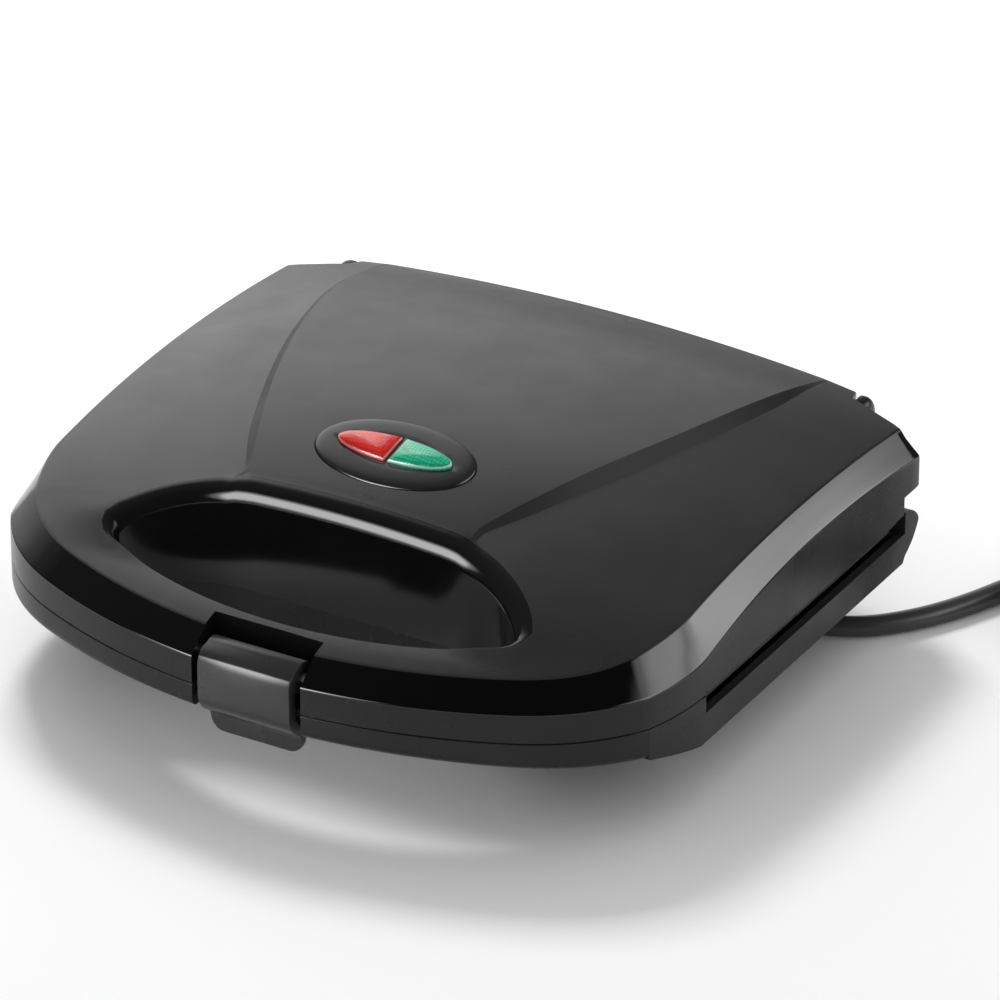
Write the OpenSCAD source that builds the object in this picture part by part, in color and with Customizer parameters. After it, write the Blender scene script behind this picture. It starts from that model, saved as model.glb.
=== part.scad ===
// Two-sandwich toaster: a hinged lid with a raised centre panel, a front handle pierced by a
// crescent finger opening, and a latch clip that hooks under the lower half of the handle.
// Millimetres. The origin is on the table under the middle of the body; the front is -Y.

/* [Housing] */
// Width over the side walls
body_w = 226; // [222:1:230]
// Distance of the foremost point of the handle in front of the origin
front_y = 106.3; // [106:0.1:107]
// Radius of the handle's front arc, seen from above
front_r = 188; // [180:1:196]
// Thickness of the moulded walls
wall = 2.6; // [2.2:0.1:3]
// Height of the seam between the two halves of the handle
seam_z = 36; // [35.5:0.1:36]
// Height of the underside of the handle
handle_z = 27.5; // [27:0.1:28]
// Height of the belly above the table, which is the height of the feet
foot_h = 5; // [4.5:0.1:5.5]

/* [Lid] */
// Greatest height of the lid's side edge
edge_top = 65.2; // [64.5:0.1:66]
// Greatest height of the raised panel
crown_top = 79.7; // [79:0.1:80.5]
// Width of the bevel round the raised panel
bevel_w = 3.5; // [3:0.1:4]
// How far the polished band steps in at the sides
band_side = 6.1; // [5.5:0.1:6.5]
// How far the polished band steps in at the corners and the front
band_front = 8; // [7.5:0.1:8.5]

/* [Hinge and latch] */
// Distance of the hinge axis behind the origin
hinge_y = 100.5; // [100:0.1:101]
// Height of the hinge axis
hinge_z = 57; // [56.5:0.1:57.5]
// Radius of the hinge knuckles
knuckle_r = 6.5; // [6.2:0.1:6.6]
// Radius of the hinge pins
hinge_pin_r = 2; // [1.8:0.1:2.2]
// Width of the latch clip
clip_w = 31; // [30:0.5:32]
// Radius of the latch pin
latch_pin_r = 1.5; // [1.3:0.1:1.7]

/* [Cooking plates] */
// Depth of the sandwich wells
well_depth = 9; // [8:0.5:9]
// Thickness of a cooking plate's rim
rim_t = 2.6; // [2.4:0.1:2.8]
// Width of the ridge that parts two triangular wells
ridge_w = 6; // [5:0.5:7]

/* [Cord] */
// Diameter of the power cord
cord_d = 6.5; // [6.2:0.1:6.5]
// Radius of the coil at the middle of its turns
coil_r = 36; // [36:1:37]

/* [Hidden] */
$fn = 48;
eps = 0.01;
far = 60;                       // how far a cutter runs past what it cuts
half_w = body_w / 2;
running = 0.05;                 // radial clearance of a pin in its bore
seat_gap = 0.2;                 // gap beside a piece that drops into its seat

// ---- plan of the housing, shared by both halves of the handle ----
side_arc_r = 78;                // flank between the side wall and the crease
side_arc_y = -35.7;
crease_after = 20;              // direction of the wall either side of the crease
crease_before = 30;
corner_r = 64;
side_x = half_w - side_arc_r;
crease = [side_x + side_arc_r * cos(crease_after), side_arc_y - side_arc_r * sin(crease_after)];
corner_c = [crease[0] - corner_r * cos(crease_before), crease[1] + corner_r * sin(crease_before)];
front_c = front_r - front_y;
front_tangent = asin(corner_c[0] / (front_r - corner_r));
rear_side_y = 93;
rear_corner = [half_w - 0.2, 95];   // foot of the rear corner
rear_corner_top = [half_w - 8.1, 94.1];
step_in = [88.7, 98];           // the hinge gap's inner corner
step_out = [86.5, 104];
rear_bow = 2;                   // bulge of the rear edge

// a station is [x, y, direction of the outward normal]
function arc_stations(c, r, a0, a1, n) =
    [for (i = [0:n]) let (a = a0 + (a1 - a0) * i / n) [c[0] + r * cos(a), c[1] + r * sin(a), a]];
front_stations = arc_stations([0, front_c], front_r, -90 + asin(10 / front_r), -90 + front_tangent, 7);
corner_stations = arc_stations(corner_c, corner_r, -90 + front_tangent, -crease_before, 5);
flank_stations = arc_stations([side_x, side_arc_y], side_arc_r, -crease_after, 0, 4);
side_stations = [for (y = [-27:10:rear_side_y]) [half_w, y, 0]];
stations = concat(
    front_stations,
    [for (i = [1:len(corner_stations) - 1]) corner_stations[i]],
    [for (i = [1:len(flank_stations) - 1]) flank_stations[i]],
    side_stations
);
function inset_point(s, d) = [s[0] - d * cos(s[2]), s[1] - d * sin(s[2])];
function mirrored(points) = [for (i = [len(points) - 1:-1:0]) [-points[i][0], points[i][1]]];
function handle_plan(d) = let (right = [for (s = stations) if (s[1] < -26) inset_point(s, d)])
    concat(right, mirrored(right));

// ---- heights of the lid's top ----
edge_y = 29;                    // where the side edge is highest
crown_y = 17;                   // where the raised panel is highest
panel_front = -39;              // where the raised panel ends
handle_top = 52;
function soft_max(a, b, s) = (a + b) / 2 + sqrt(pow((a - b) / 2, 2) + s * s);
function clamp01(t) = min(1, max(0, t));
function smooth(t) = let (c = clamp01(t)) c * c * (3 - 2 * c);
function edge_z(y) = y > edge_y ? edge_top - 0.00093 * pow(y - edge_y, 2)
    : soft_max(edge_top - 0.00124 * pow(y - edge_y, 2), handle_top + 0.04 * (y + 98), 0.8);
function band_z(y) = y > edge_y ? 57.3 - 0.00107 * pow(y - edge_y, 2)
    : soft_max(57.3 - 0.0022 * pow(y - edge_y, 2), 45.2 + 0.03 * (y + 106), 0.5);
function arch(y) = let (body = 12.4 + 3.1 * pow(clamp01((y + 30) / 93), 2) - 6.3 * pow(clamp01((y - 63) / 41), 3))
    body + (1.8 - body) * smooth((-64 - y) / 18);
function crown_z(y) = y > crown_y ? crown_top - 12.4 * pow((y - crown_y) / 87, 2.8)
    : crown_top - 0.0021 * pow(y - crown_y, 2);
function panel_half(y) = let (t = (y + 39) / 143) 38.9 + 37 * sin(90 * clamp01(t)) + 4 * t * (1 - t);
function panel_z(x, y) = crown_z(y) - 0.042 * x * x / panel_half(y);
function side_z(x, y, w) = edge_z(y) + arch(y) * (1 - pow(x / w, 2));
// width of the bevel, which narrows towards both of its ends
function bevel_at(y) = bevel_w * (0.4 + 0.6 * smooth((y + 46) / 26) * smooth((104 - y) / 40));
function panel_rise(y, w) = let (p = panel_half(y))
    max(0, panel_z(p, y) - side_z(p, y, w)) * smooth((y - panel_front + 10) / 8);
function top_z(x, y, w) = let (p = panel_half(y), ax = abs(x))
    y < panel_front - 10 || ax >= p + bevel_at(y) ? side_z(x, y, w)
    : ax > p ? side_z(x, y, w) + panel_rise(y, w) * (1 - (ax - p) / bevel_at(y))
    : let (k = smooth((y - panel_front + 10) / 8)) k * max(panel_z(x, y), side_z(p, y, w)) + (1 - k) * side_z(x, y, w);

// ---- helpers ----
module both_sides() {
    children();
    mirror([1, 0, 0]) children();
}
// two triangles for the four corners a, b, c, d
function quad(a, b, c, d) = [[a, b, c], [a, c, d]];
// walls between rings of n points, each anticlockwise from above, from low to high
function ring_walls(count, n) = [for (i = [0:count - 2], j = [0:n - 1])
    each quad(i * n + j, (i + 1) * n + j, (i + 1) * n + (j + 1) % n, i * n + (j + 1) % n)];
// closed solid through such rings, the lowest and the highest of them level
module loft(rings) {
    n = len(rings[0]);
    last = len(rings) - 1;
    polyhedron(
        points = [for (ring = rings) each ring],
        faces = concat(
            [[for (j = [0:n - 1]) j]],
            ring_walls(last + 1, n),
            [[for (j = [n - 1:-1:0]) last * n + j]]
        ),
        convexity = 6
    );
}
// solid under a grid of points: rows run from the front to the rear, columns from left to right
module under_grid(rings, grid) {
    rows = len(grid) - 1;
    cols = len(grid[0]) - 1;
    n = len(rings[0]);
    base = len(rings) * n;
    function at(i, j) = base + i * (cols + 1) + j;
    rim = concat([for (j = [0:cols]) at(0, j)], [for (i = [1:rows]) at(i, cols)],
        [for (j = [cols - 1:-1:0]) at(rows, j)], [for (i = [rows - 1:-1:1]) at(i, 0)]);
    polyhedron(
        points = concat([for (ring = rings) each ring], [for (row = grid) each row]),
        faces = concat(
            [[for (j = [0:n - 1]) j]],
            ring_walls(len(rings), n),
            [for (j = [0:n - 1]) each quad(base - n + j, rim[j], rim[(j + 1) % n], base - n + (j + 1) % n)],
            [for (i = [0:rows - 1], j = [0:cols - 1])
                each quad(at(i, j), at(i + 1, j), at(i + 1, j + 1), at(i, j + 1))]
        ),
        convexity = 6
    );
}
module along_x(from, to) {
    translate([from, 0, 0]) rotate([90, 0, 90]) linear_extrude(to - from) children();
}
module rod_x(from, to, y, z, r) {
    translate([from, y, z]) rotate([0, 90, 0]) cylinder(h = to - from, r = r);
}
module box(low, high) {
    translate(low) cube(high - low);
}
// ---- openings and seats shared by several pieces ----
opening_front_r = 140;          // front edge of the crescent finger opening
opening_front_y = -89;
opening_rear_y = -50;
opening_rear_r = 45;
opening_flat = 31;              // half length of the straight stretch of the rear wall
slot_half = 18.3;
slot_rear_y = -92;
clip_recess_y = -102.6;         // the lower half's face behind the clip
clip_roof_z = 29.4;             // underside of the lower half above the hook
latch_y = -99;
latch_z = 44.6;
module finger_plan() {
    intersection() {
        translate([0, opening_front_y + opening_front_r]) circle(opening_front_r, $fn = 180);
        union() {
            for (s = [-1, 1])
                translate([s * opening_flat, opening_rear_y - opening_rear_r]) circle(opening_rear_r, $fn = 120);
            translate([-opening_flat, opening_rear_y - 2 * opening_rear_r])
                square([2 * opening_flat, 2 * opening_rear_r]);
        }
    }
}
module finger_cut(low, high) {
    translate([0, 0, low]) linear_extrude(high - low) finger_plan();
}

// plates, wells and the screws that hold them
plate_half = half_w - 3.8;
plate_front = -34.8;
plate_rear = 83.6;
parting_z = 33.8;               // midway between the two plates
parting_gap = 0.4;
well_inner = 6;
well_outer = plate_half - 11.2;
well_front = -22;
well_rear = 72;
plate_t = 2;
screw_x = 52;
screw_front_y = -29.5;
screw_rear_y = 78.5;
screw_r = 1.5;
screw_head_r = 3;
screw_head_h = 1.6;
boss_r = 4;
lower_rim_top = parting_z - parting_gap / 2;
lower_rim_low = lower_rim_top - rim_t;
upper_rim_low = parting_z + parting_gap / 2;
upper_rim_top = upper_rim_low + rim_t;
lower_well_z = lower_rim_top - well_depth - plate_t;
upper_well_z = upper_rim_low + well_depth + plate_t;
module at_screws() {
    for (x = [-screw_x, screw_x], y = [screw_front_y, screw_rear_y]) translate([x, y, 0]) children();
}
// one triangular well as a tapered prism, wider at z = 0 by grow on each side
module triangle_well(points, depth, grow) {
    c = (points[0] + points[1] + points[2]) / 3;
    taper = 0.9;
    k = 1 + grow / 18;
    mirror([0, 0, 1])
        translate([c[0], c[1], 0])
            linear_extrude(depth, scale = taper)
                polygon([for (p = points) (p - c) * k]);
}
module wells(depth, grow) {
    d = ridge_w;
    both_sides() {
        triangle_well([[well_inner + d, well_front], [well_outer, well_front], [well_outer, well_rear - d]], depth, grow);
        triangle_well([[well_inner, well_front + d], [well_outer - d, well_rear], [well_inner, well_rear]], depth, grow);
    }
}
module cooking_plate() {
    difference() {
        union() {
            box([-plate_half, plate_front, -rim_t], [plate_half, plate_rear, 0]);
            wells(well_depth + plate_t, plate_t);
        }
        translate([0, 0, eps]) wells(well_depth, 0);
        at_screws() {
            translate([0, 0, -rim_t - 1]) cylinder(h = rim_t + 2, r = screw_r + running);
            translate([0, 0, -screw_head_h]) cylinder(h = screw_head_h + 1, r = screw_head_r + seat_gap);
        }
    }
}
module plate_screw(length) {
    difference() {
        union() {
            translate([0, 0, -screw_head_h]) cylinder(h = screw_head_h - 0.2, r = screw_head_r);
            translate([0, 0, -length]) cylinder(h = length - screw_head_h + eps, r = screw_r);
        }
        for (a = [0, 90])
            rotate([0, 0, a]) box([-2, -0.35, -0.8], [2, 0.35, 0]);
    }
}

// heating elements and reflectors
element_r = 3.2;
element_low_y = 5;
element_bend_r = 20;
element_bend_x = 70;
element_end_x = -half_w + 21;
element_pin_x = -half_w + 11;
module heating_element() {
    mid = element_low_y + element_bend_r;
    for (s = [-1, 1]) {
        rod_x(element_end_x, element_bend_x, mid + s * element_bend_r, 0, element_r);
        rod_x(element_pin_x, element_end_x + eps, mid + s * element_bend_r, 0, 1.3);
    }
    translate([element_bend_x, mid, 0]) rotate([0, 0, -90])
        rotate_extrude(angle = 180) translate([element_bend_r, 0]) circle(element_r);
}
reflector_half = half_w - 18.6;
reflector_front = -22;
reflector_rear = 73;
reflector_t = 0.8;
reflector_lip = 2.4;
lower_reflector_z = 13.5;
upper_reflector_z = 54.2;
fuse_x = -reflector_half + 22.4;
module reflector(cord_notch = false) {
    difference() {
        box([-reflector_half, reflector_front, 0], [reflector_half, reflector_rear, reflector_lip]);
        box([-reflector_half + reflector_t, reflector_front + reflector_t, reflector_t],
            [reflector_half - reflector_t, reflector_rear - reflector_t, reflector_lip + 1]);
        if (cord_notch) box([pocket_x - 8, 49, -1], [reflector_half + 1, reflector_rear + 1, reflector_lip + 1]);
    }
}
rib_y = [0, 48];
rib_t = 2;
rib_far_x = 80;
rib_near_x = 24;

// ---- base ----
base_rim_z = 30.2;
wall_low_z = 19.5;
base_front_y = -38;
base_rear_y = 95;
ear_y = 86.4;                   // the rear wall rises to the ear height behind the lid's skirt
ear_z = 37.4;
cavity_rear_y = 84;
belly_half = half_w - 21;
knuckle_in = 88.9;
knuckle_out = 92.8;
floor_z = foot_h + wall;
pocket_x = 58;                  // inner end of the cord pocket
pocket_y = 62.4;
pocket_half = 9;
pocket_top = 18;
relief_tilt = 11.3;
relief_out = [80, 62.4, 6.6];
relief_len = 22.4;
relief_neck_r = 4.2;
foot_x = half_w - 37;
foot_at = [[foot_x, -8], [foot_x, 43]];
foot_r = 8;
module front_profile(d) {
    polygon([[-half_w + d, 60], [-half_w + d, wall_low_z + 1], [-half_w + 1.5 + d, wall_low_z - 0.6],
        [-belly_half + d / 2, foot_h + d], [belly_half - d / 2, foot_h + d],
        [half_w - 1.5 - d, wall_low_z - 0.6], [half_w - d, wall_low_z + 1], [half_w - d, 60]]);
}
module base_side_profile() {
    polygon([[-62, handle_z - 1.6], [-36, wall_low_z], [-21, foot_h], [78, foot_h], [85.4, 20.6], [88.5, 23.6],
        [91.5, 26], [93.8, 29], [base_rear_y, 31], [base_rear_y - 0.4, 32.7], [93, 34.6], [90.4, 36.4], [ear_y, ear_z],
        [ear_y, base_rim_z], [base_front_y + 1, base_rim_z],
        [base_front_y + 1, seam_z], [-62, seam_z]]);
}
module post_profile() {
    translate([hinge_y, hinge_z]) circle(knuckle_r);
    polygon([[hinge_y - knuckle_r, hinge_z], [hinge_y + knuckle_r, hinge_z], [hinge_y + knuckle_r, 50],
        [99, 36], [94.4, 30], [ear_y, 25], [ear_y, 36], [91, 37], [hinge_y - knuckle_r, 42]]);
}
module base_outer() {
    intersection() {
        along_x(-half_w - 1, half_w + 1) base_side_profile();
        translate([0, base_rear_y + 20, 0]) rotate([90, 0, 0])
            linear_extrude(base_rear_y + 90) front_profile(0);
        union() {
            linear_extrude(far) polygon(handle_plan(0));
            box([-half_w - 1, -28, 0], [half_w + 1, far * 2, far]);
        }
    }
    difference() {
        union() {
            edge = [[0, 2], [0.6, 1], [1.5, 0.35], [2.8, 0]];
            for (e = edge) intersection() {
                linear_extrude(seam_z) polygon(handle_plan(e[1]));
                along_x(-half_w - 1, half_w + 1) polygon([[-120, handle_z + 1.6 + e[0]],
                    [base_front_y, handle_z - 2.9 + e[0]], [base_front_y + 2, far], [-120, far]]);
            }
        }
        box([-half_w - 1, base_front_y + 1, 0], [half_w + 1, far, seam_z + 1]);
    }
    both_sides() along_x(knuckle_in, knuckle_out) post_profile();
}
module base_cavity() {
    intersection() {
        along_x(-half_w, half_w)
            polygon([[base_front_y + wall, far], [base_front_y + wall, 20.5], [-20, floor_z], [76, floor_z],
                [cavity_rear_y - 0.2, 21], [cavity_rear_y - 0.2, far]]);
        translate([0, cavity_rear_y + 10, 0]) rotate([90, 0, 0])
            linear_extrude(cavity_rear_y + far) front_profile(wall);
    }
}
module relief_frame() {
    translate(relief_out) rotate([0, 90 + relief_tilt, 0]) children();
}
module base_shell() {
    color([0.05, 0.05, 0.055]) difference() {
        base_outer();
        difference() {
            base_cavity();
            at_screws() cylinder(h = lower_rim_low, r = boss_r);
            for (y = rib_y) box([-rib_far_x, y, 0], [rib_far_x, y + rib_t, lower_reflector_z]);
            box([pocket_x - wall, pocket_y - pocket_half - wall, 0],
                [half_w, pocket_y + pocket_half + wall, pocket_top + wall]);
        }
        box([pocket_x, pocket_y - pocket_half, 0], [half_w + 1, pocket_y + pocket_half, pocket_top]);
        relief_frame() translate([0, 0, -relief_len - 12]) cylinder(h = 20, r = relief_neck_r);
        at_screws() translate([0, 0, lower_rim_low - 11]) cylinder(h = 12, r = screw_r);
        finger_cut(0, far);
        along_x(-slot_half, slot_half)
            polygon([[-120, far], [clip_recess_y, far], [clip_recess_y, 33.6], [-99.6, clip_roof_z],
                [-94, clip_roof_z], [-94, 20], [-120, 20]]);
        both_sides() rod_x(0, knuckle_out - 1, hinge_y, hinge_z, hinge_pin_r);
    }
}
module hinge_pins() {
    color([0.75, 0.75, 0.77]) both_sides() rod_x(79, knuckle_out - 1, hinge_y, hinge_z, hinge_pin_r);
}
module lower_cooking_plate() {
    color([0.12, 0.12, 0.12]) translate([0, 0, lower_rim_top]) cooking_plate();
}
module lower_plate_screws() {
    color([0.7, 0.7, 0.72]) at_screws() translate([0, 0, lower_rim_top]) plate_screw(12);
}
module lower_reflector() {
    color([0.72, 0.72, 0.74]) translate([0, 0, lower_reflector_z]) reflector(true);
}
module lower_heating_element() {
    color([0.35, 0.35, 0.36]) translate([0, 0, lower_well_z - element_r]) heating_element();
}
module thermostat() {
    color([0.85, 0.82, 0.75]) translate([-30, 22, lower_reflector_z + reflector_t])
        cylinder(h = lower_well_z - lower_reflector_z - reflector_t, r = 7.5);
}
module thermal_fuse() {
    color([0.8, 0.78, 0.7]) rod_x(fuse_x, fuse_x + 14, 60, lower_reflector_z + reflector_t + 2, 2);
}
module terminal_block() {
    color([0.9, 0.9, 0.88]) difference() {
        box([26, 56, floor_z], [50, 69, lower_reflector_z - 0.4]);
        for (y = [59.5, 65.5]) rod_x(25, 51, y, floor_z + 3, 1.5);
    }
}
module base_wiring() {
    color([0.8, 0.1, 0.08]) {
        side_run = half_w - 11.4;
        tube([[25.8, 59.5, 10.6], [21, 66, 10.6], [13, 70, 10.6], [0, 71, 10.6], [-76, 71, 10.4],
            [-side_run + 15.6, 68, 10.4], [-side_run + 8.6, 64.8, 11.4], [-side_run + 3.4, 58.5, 14.6],
            [-side_run + 0.6, 52, 18], [-side_run, 47.4, 19.4]], wire_r, 8);
        tube([[53.4, 62.6, 11.4], [52, 61.5, 11], [50.2, 60, 10.6]], wire_r, 8);
    }
}
module rubber_feet() {
    color([0.08, 0.08, 0.08]) both_sides() for (p = foot_at) translate([p[0], p[1], 0]) {
        cylinder(h = 1, r1 = foot_r - 1, r2 = foot_r);
        translate([0, 0, 1]) cylinder(h = foot_h - 1, r = foot_r);
    }
}

// ---- cord, coil and plug ----
cord_r = cord_d / 2;
wire_r = 1;
cord_route = [
    [80, 62.4, 6.6], [84, 62.6, 5.8], [88, 63.2, 5.1], [92, 64.4, 4.5], [96, 66.2, 4], [100, 68.4, 3.6],
    [104.5, 71.3, 3.4], [109, 74.7, 3.3], [114.3, 80, 3.3], [119.8, 87, 3.3], [124.7, 95, 3.3],
    [128.9, 103.6, 3.3], [132.4, 112.2, 3.3], [136, 121.5, 3.3], [139.8, 131.1, 3.3], [143.6, 140.7, 3.3]
];
coil_centre = [180, 126];
coil_outer_r = coil_r + cord_r;
coil_h = 2 * cord_d;
plug_z = 1.5 * cord_d;          // the last turn lies on the first, and the plug is level with it
plug_x = coil_centre[0] + coil_outer_r;
cord_tail = [[plug_x, 126, plug_z], [plug_x, 117, plug_z], [plug_x, 108, plug_z], [plug_x, 98, plug_z]];
tie_angle = 300;
tie_t = 1;
tie_w = 5;
plug_relief = 22;
plug_len = 30;
plug_pin_len = 19;
// a ring of the tube round point i, square to the line through its neighbours
function tangent(p, i) = let (d = p[min(i + 1, len(p) - 1)] - p[max(i - 1, 0)]) d / norm(d);
function tube_ring(p, i, r, sides) = let (
    t = tangent(p, i), side = cross(t, [0, 0, 1]) / norm(cross(t, [0, 0, 1])), up = cross(side, t))
    [for (k = [0:sides - 1]) p[i] + r * (cos(360 * k / sides) * side + sin(360 * k / sides) * up)];
module tube(points, r, sides = 10) {
    n = len(points) - 1;
    rings = [for (i = [0:n]) tube_ring(points, i, r, sides)];
    polyhedron(
        points = [for (ring = rings) each ring],
        faces = concat(
            [[for (k = [sides - 1:-1:0]) k]],
            [for (i = [0:n - 1], k = [0:sides - 1]) let (a = i * sides, b = a + sides, m = (k + 1) % sides)
                each quad(a + k, a + m, b + m, b + k)],
            [[for (k = [0:sides - 1]) n * sides + k]]
        ),
        convexity = 4
    );
}
module cord_strain_relief() {
    color([0.06, 0.06, 0.06]) relief_frame() rotate_extrude()
        polygon([[0, 0], [cord_r + 0.7, 0], [5.2, -relief_len + 4], [5.2, -relief_len + 1.5],
            [relief_neck_r, -relief_len + 1.5], [relief_neck_r, -relief_len - 4], [0, -relief_len - 4]]);
}
module power_cord() {
    color([0.07, 0.07, 0.075]) {
        tube(cord_route, cord_r);
        tube(cord_tail, cord_r);
    }
}
module cord_coil() {
    color([0.07, 0.07, 0.075]) translate([coil_centre[0], coil_centre[1], 0]) rotate_extrude($fn = 72)
        translate([coil_r - cord_d, 0]) square([2 * cord_d, coil_h]);
}
module cord_tie() {
    color([0.1, 0.1, 0.1]) translate([coil_centre[0], coil_centre[1], 0]) rotate([0, 0, tie_angle])
        difference() {
            box([coil_r - cord_d - tie_t, -tie_w / 2, 0], [coil_r + cord_d + tie_t, tie_w / 2, coil_h + tie_t]);
            box([coil_r - cord_d, -tie_w, tie_t], [coil_r + cord_d, tie_w, coil_h]);
        }
}
module plug_frame() {
    translate(cord_tail[len(cord_tail) - 1]) rotate([90, 0, 0]) children();
}
module plug_body() {
    color([0.06, 0.06, 0.06]) plug_frame() {
        cylinder(h = plug_relief, r1 = cord_r + 0.6, r2 = 6);
        translate([0, 0, plug_relief]) intersection() {
            linear_extrude(plug_len) polygon([[-14, -6], [-10, -plug_z], [10, -plug_z], [14, -6],
                [14, 6], [10, plug_z], [-10, plug_z], [-14, 6]]);
            rotate([-90, 0, 0]) translate([0, 0, -20]) linear_extrude(40)
                polygon([[-7, 0], [-14, -6], [-14, -plug_len], [14, -plug_len], [14, -6], [7, 0]]);
        }
    }
}
module plug_pins() {
    color([0.75, 0.72, 0.6]) plug_frame() for (s = [-1, 1])
        translate([s * 9.5, 0, plug_relief + plug_len]) {
            cylinder(h = plug_pin_len - 1, r = 2.4);
            translate([0, 0, plug_pin_len - 1]) cylinder(h = 1, r1 = 2.4, r2 = 1.6);
        }
}

// ---- lid ----
lid_skirt_z = 37;
lip_z = 34.8;                   // a thin lip hangs inside each side skirt
lip_t = 1.8;
lip_front_y = -34;
lip_rear_y = 84;
rear_skirt_z = 42.8;
rear_skirt_y = 85.5;
flare_centre = 6.5;             // radius of the soft rear edge of the finger opening
flare_tip = 3.5;
edge_share = 0.12;              // the crisp front edge has this share of the soft edge's radius
lid_stations = [for (s = stations) let (d = band_front + (band_side - band_front) * smooth((s[1] + 65) / 28))
    [[s[0], s[1]], inset_point(s, d)]];
rear_stations = [[rear_corner, rear_corner_top], [[97, 95.6], [97, 95.6]], [step_in, step_in], [step_out, step_out]];
lid_sides = concat(lid_stations, rear_stations);
function lid_w(i) = i < len(lid_stations) ? lid_sides[i][1][0] : half_w - band_side;
// half of a row's column positions, from the middle to the edge
function half_columns(y, edge) = let (p = min(panel_half(y), 0.4 * edge + 9 * clamp01(edge / 40)), q = min(p + bevel_at(y), 0.8 * edge))
    [0, 0.35 * p, 0.7 * p, p, q, q + (edge - q) / 3, q + (edge - q) * 2 / 3, edge];
function row_columns(y, edge) = let (h = half_columns(y, edge), n = len(h) - 1)
    concat([for (i = [n:-1:1]) -h[i]], h);
function bow(x, y) = rear_bow * smooth((y - 60) / 44) * (1 - pow(x / step_out[0], 2));
function grid_row(i) = let (e = lid_sides[i][1], w = lid_w(i), bowed = abs(e[1]) > 98)
    [for (x = row_columns(e[1], e[0])) let (y = e[1] + (abs(x) < step_out[0] ? bow(x, e[1]) : 0)) [x, y, top_z(x, y, w)]];
// the loop round the grid at the foot of the walls, with z(y) as height
function wall_x(i, x, col) = let (n = 7) abs(col - n) == n ? sign(x) * lid_sides[i][0][0] : x * lid_sides[i][0][0] / lid_sides[i][1][0];
function wall_row(i) = let (e = lid_sides[i], xs = row_columns(e[1][1], e[1][0]), last = i == len(lid_sides) - 1)
    [for (j = [0:len(xs) - 1]) [wall_x(i, xs[j], j), e[0][1] + (last ? bow(xs[j], e[1][1]) : 0)]];
function wall_loop(z) = let (n = len(lid_sides) - 1, front = wall_row(0), rear = wall_row(n), m = len(front) - 1)
    concat([for (j = [0:m]) front[j]], [for (i = [1:n]) lid_sides[i][0]],
        [for (j = [m - 1:-1:0]) rear[j]], [for (i = [n - 1:-1:1]) [-lid_sides[i][0][0], lid_sides[i][0][1]]]);
function lifted(loop, z0) = [for (p = loop) [p[0], p[1], z0 > 0 ? z0 : band_z(p[1])]];
module lid_outer() {
    loop = wall_loop();
    under_grid([lifted(loop, seam_z), lifted(loop, 0)], [for (i = [0:len(lid_sides) - 1]) grid_row(i)]);
}
cavity_half = half_w - 3.2;
cavity_top_half = half_w - 10;
cavity_front = -35;
cavity_rear = 88;
roof_t = 3.2;
module lid_cavity() {
    ys = [cavity_front, -26, -15, 0, 15, 30, 45, 60, 72, cavity_rear];
    us = [-1, -0.85, -0.7, -0.5, -0.25, 0, 0.25, 0.5, 0.7, 0.85, 1];
    w = half_w - band_side;
    rows = len(ys) - 1;
    cols = len(us) - 1;
    function loop_at(half) = concat([for (u = us) [u * half, ys[0]]], [for (i = [1:rows]) [half, ys[i]]],
        [for (j = [cols - 1:-1:0]) [us[j] * half, ys[rows]]], [for (i = [rows - 1:-1:1]) [-half, ys[i]]]);
    wide = loop_at(cavity_half);
    under_grid(
        [[for (p = wide) [p[0], p[1], 20]], [for (p = wide) [p[0], p[1], band_z(p[1]) - 2]]],
        [for (y = ys) [for (u = us) [u * cavity_top_half, y, side_z(u * cavity_top_half, y, w) - roof_t]]]
    );
}
// the finger opening with its soft rear edge: rings that widen towards the top
function opening_arc(a) = [opening_front_r * sin(a), opening_front_y + opening_front_r * (1 - cos(a))];
tip_r = 5;
rear_loop = [for (a = [38:6:86]) [opening_flat + opening_rear_r * cos(a), opening_rear_y - opening_rear_r * (1 - sin(a)), a]];
module opening_cutter() {
    // each rim point is [x, y, outward direction, share of the flare]
    tip = [[60.2, -75.3, -64, edge_share], [63.6, -73.4, -50, 0.3], [66, -70.8, -20, 0.7], [66.6, -68.4, 15, 1]];
    front = [for (x = [0:10:50]) let (a = asin(x / opening_front_r)) [x, opening_arc(a)[1], -90 + a, edge_share]];
    rear = [for (q = rear_loop) if (q[0] < 66) [q[0], q[1], q[2], 1]];
    flat = [for (x = [30:-10:0]) [x, opening_rear_y, 90, 1]];
    right = concat(front, tip, rear, flat);
    loop = concat(right, [for (i = [len(right) - 2:-1:1]) [-right[i][0], right[i][1], 180 - right[i][2], right[i][3]]]);
    w = half_w - band_side;
    function flare(q) = q[3] * (flare_tip + (flare_centre - flare_tip) * smooth((56 - abs(q[0])) / 24));
    function edge_w(y) = y > -45 ? w : w - 0.0145 * pow(-45 - y, 2);
    function ring(a, lift) = [for (q = loop) let (
        f = flare(q), out = f * (1 - cos(a)), rim = [q[0] + f * cos(q[2]), q[1] + f * sin(q[2])])
        [q[0] + out * cos(q[2]), q[1] + out * sin(q[2]),
         top_z(rim[0], rim[1], edge_w(rim[1])) - f * (1 - sin(a)) + lift]];
    loft(concat([[for (q = loop) [q[0], q[1], 20]]], [for (a = [0:22.5:90]) ring(a, a == 90 ? 0.05 : 0)],
        [[for (p = ring(90, 0)) [p[0], p[1], 90]]]));
}
module lid_bosses() {
    at_screws() translate([0, 0, upper_rim_top]) cylinder(h = far, r = boss_r, $fn = 24);
    for (y = rib_y, s = [-1, 1])
        box([s > 0 ? rib_near_x : -rib_far_x, y, upper_reflector_z], [s > 0 ? rib_far_x : -rib_near_x, y + rib_t, 90]);
}
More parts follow.
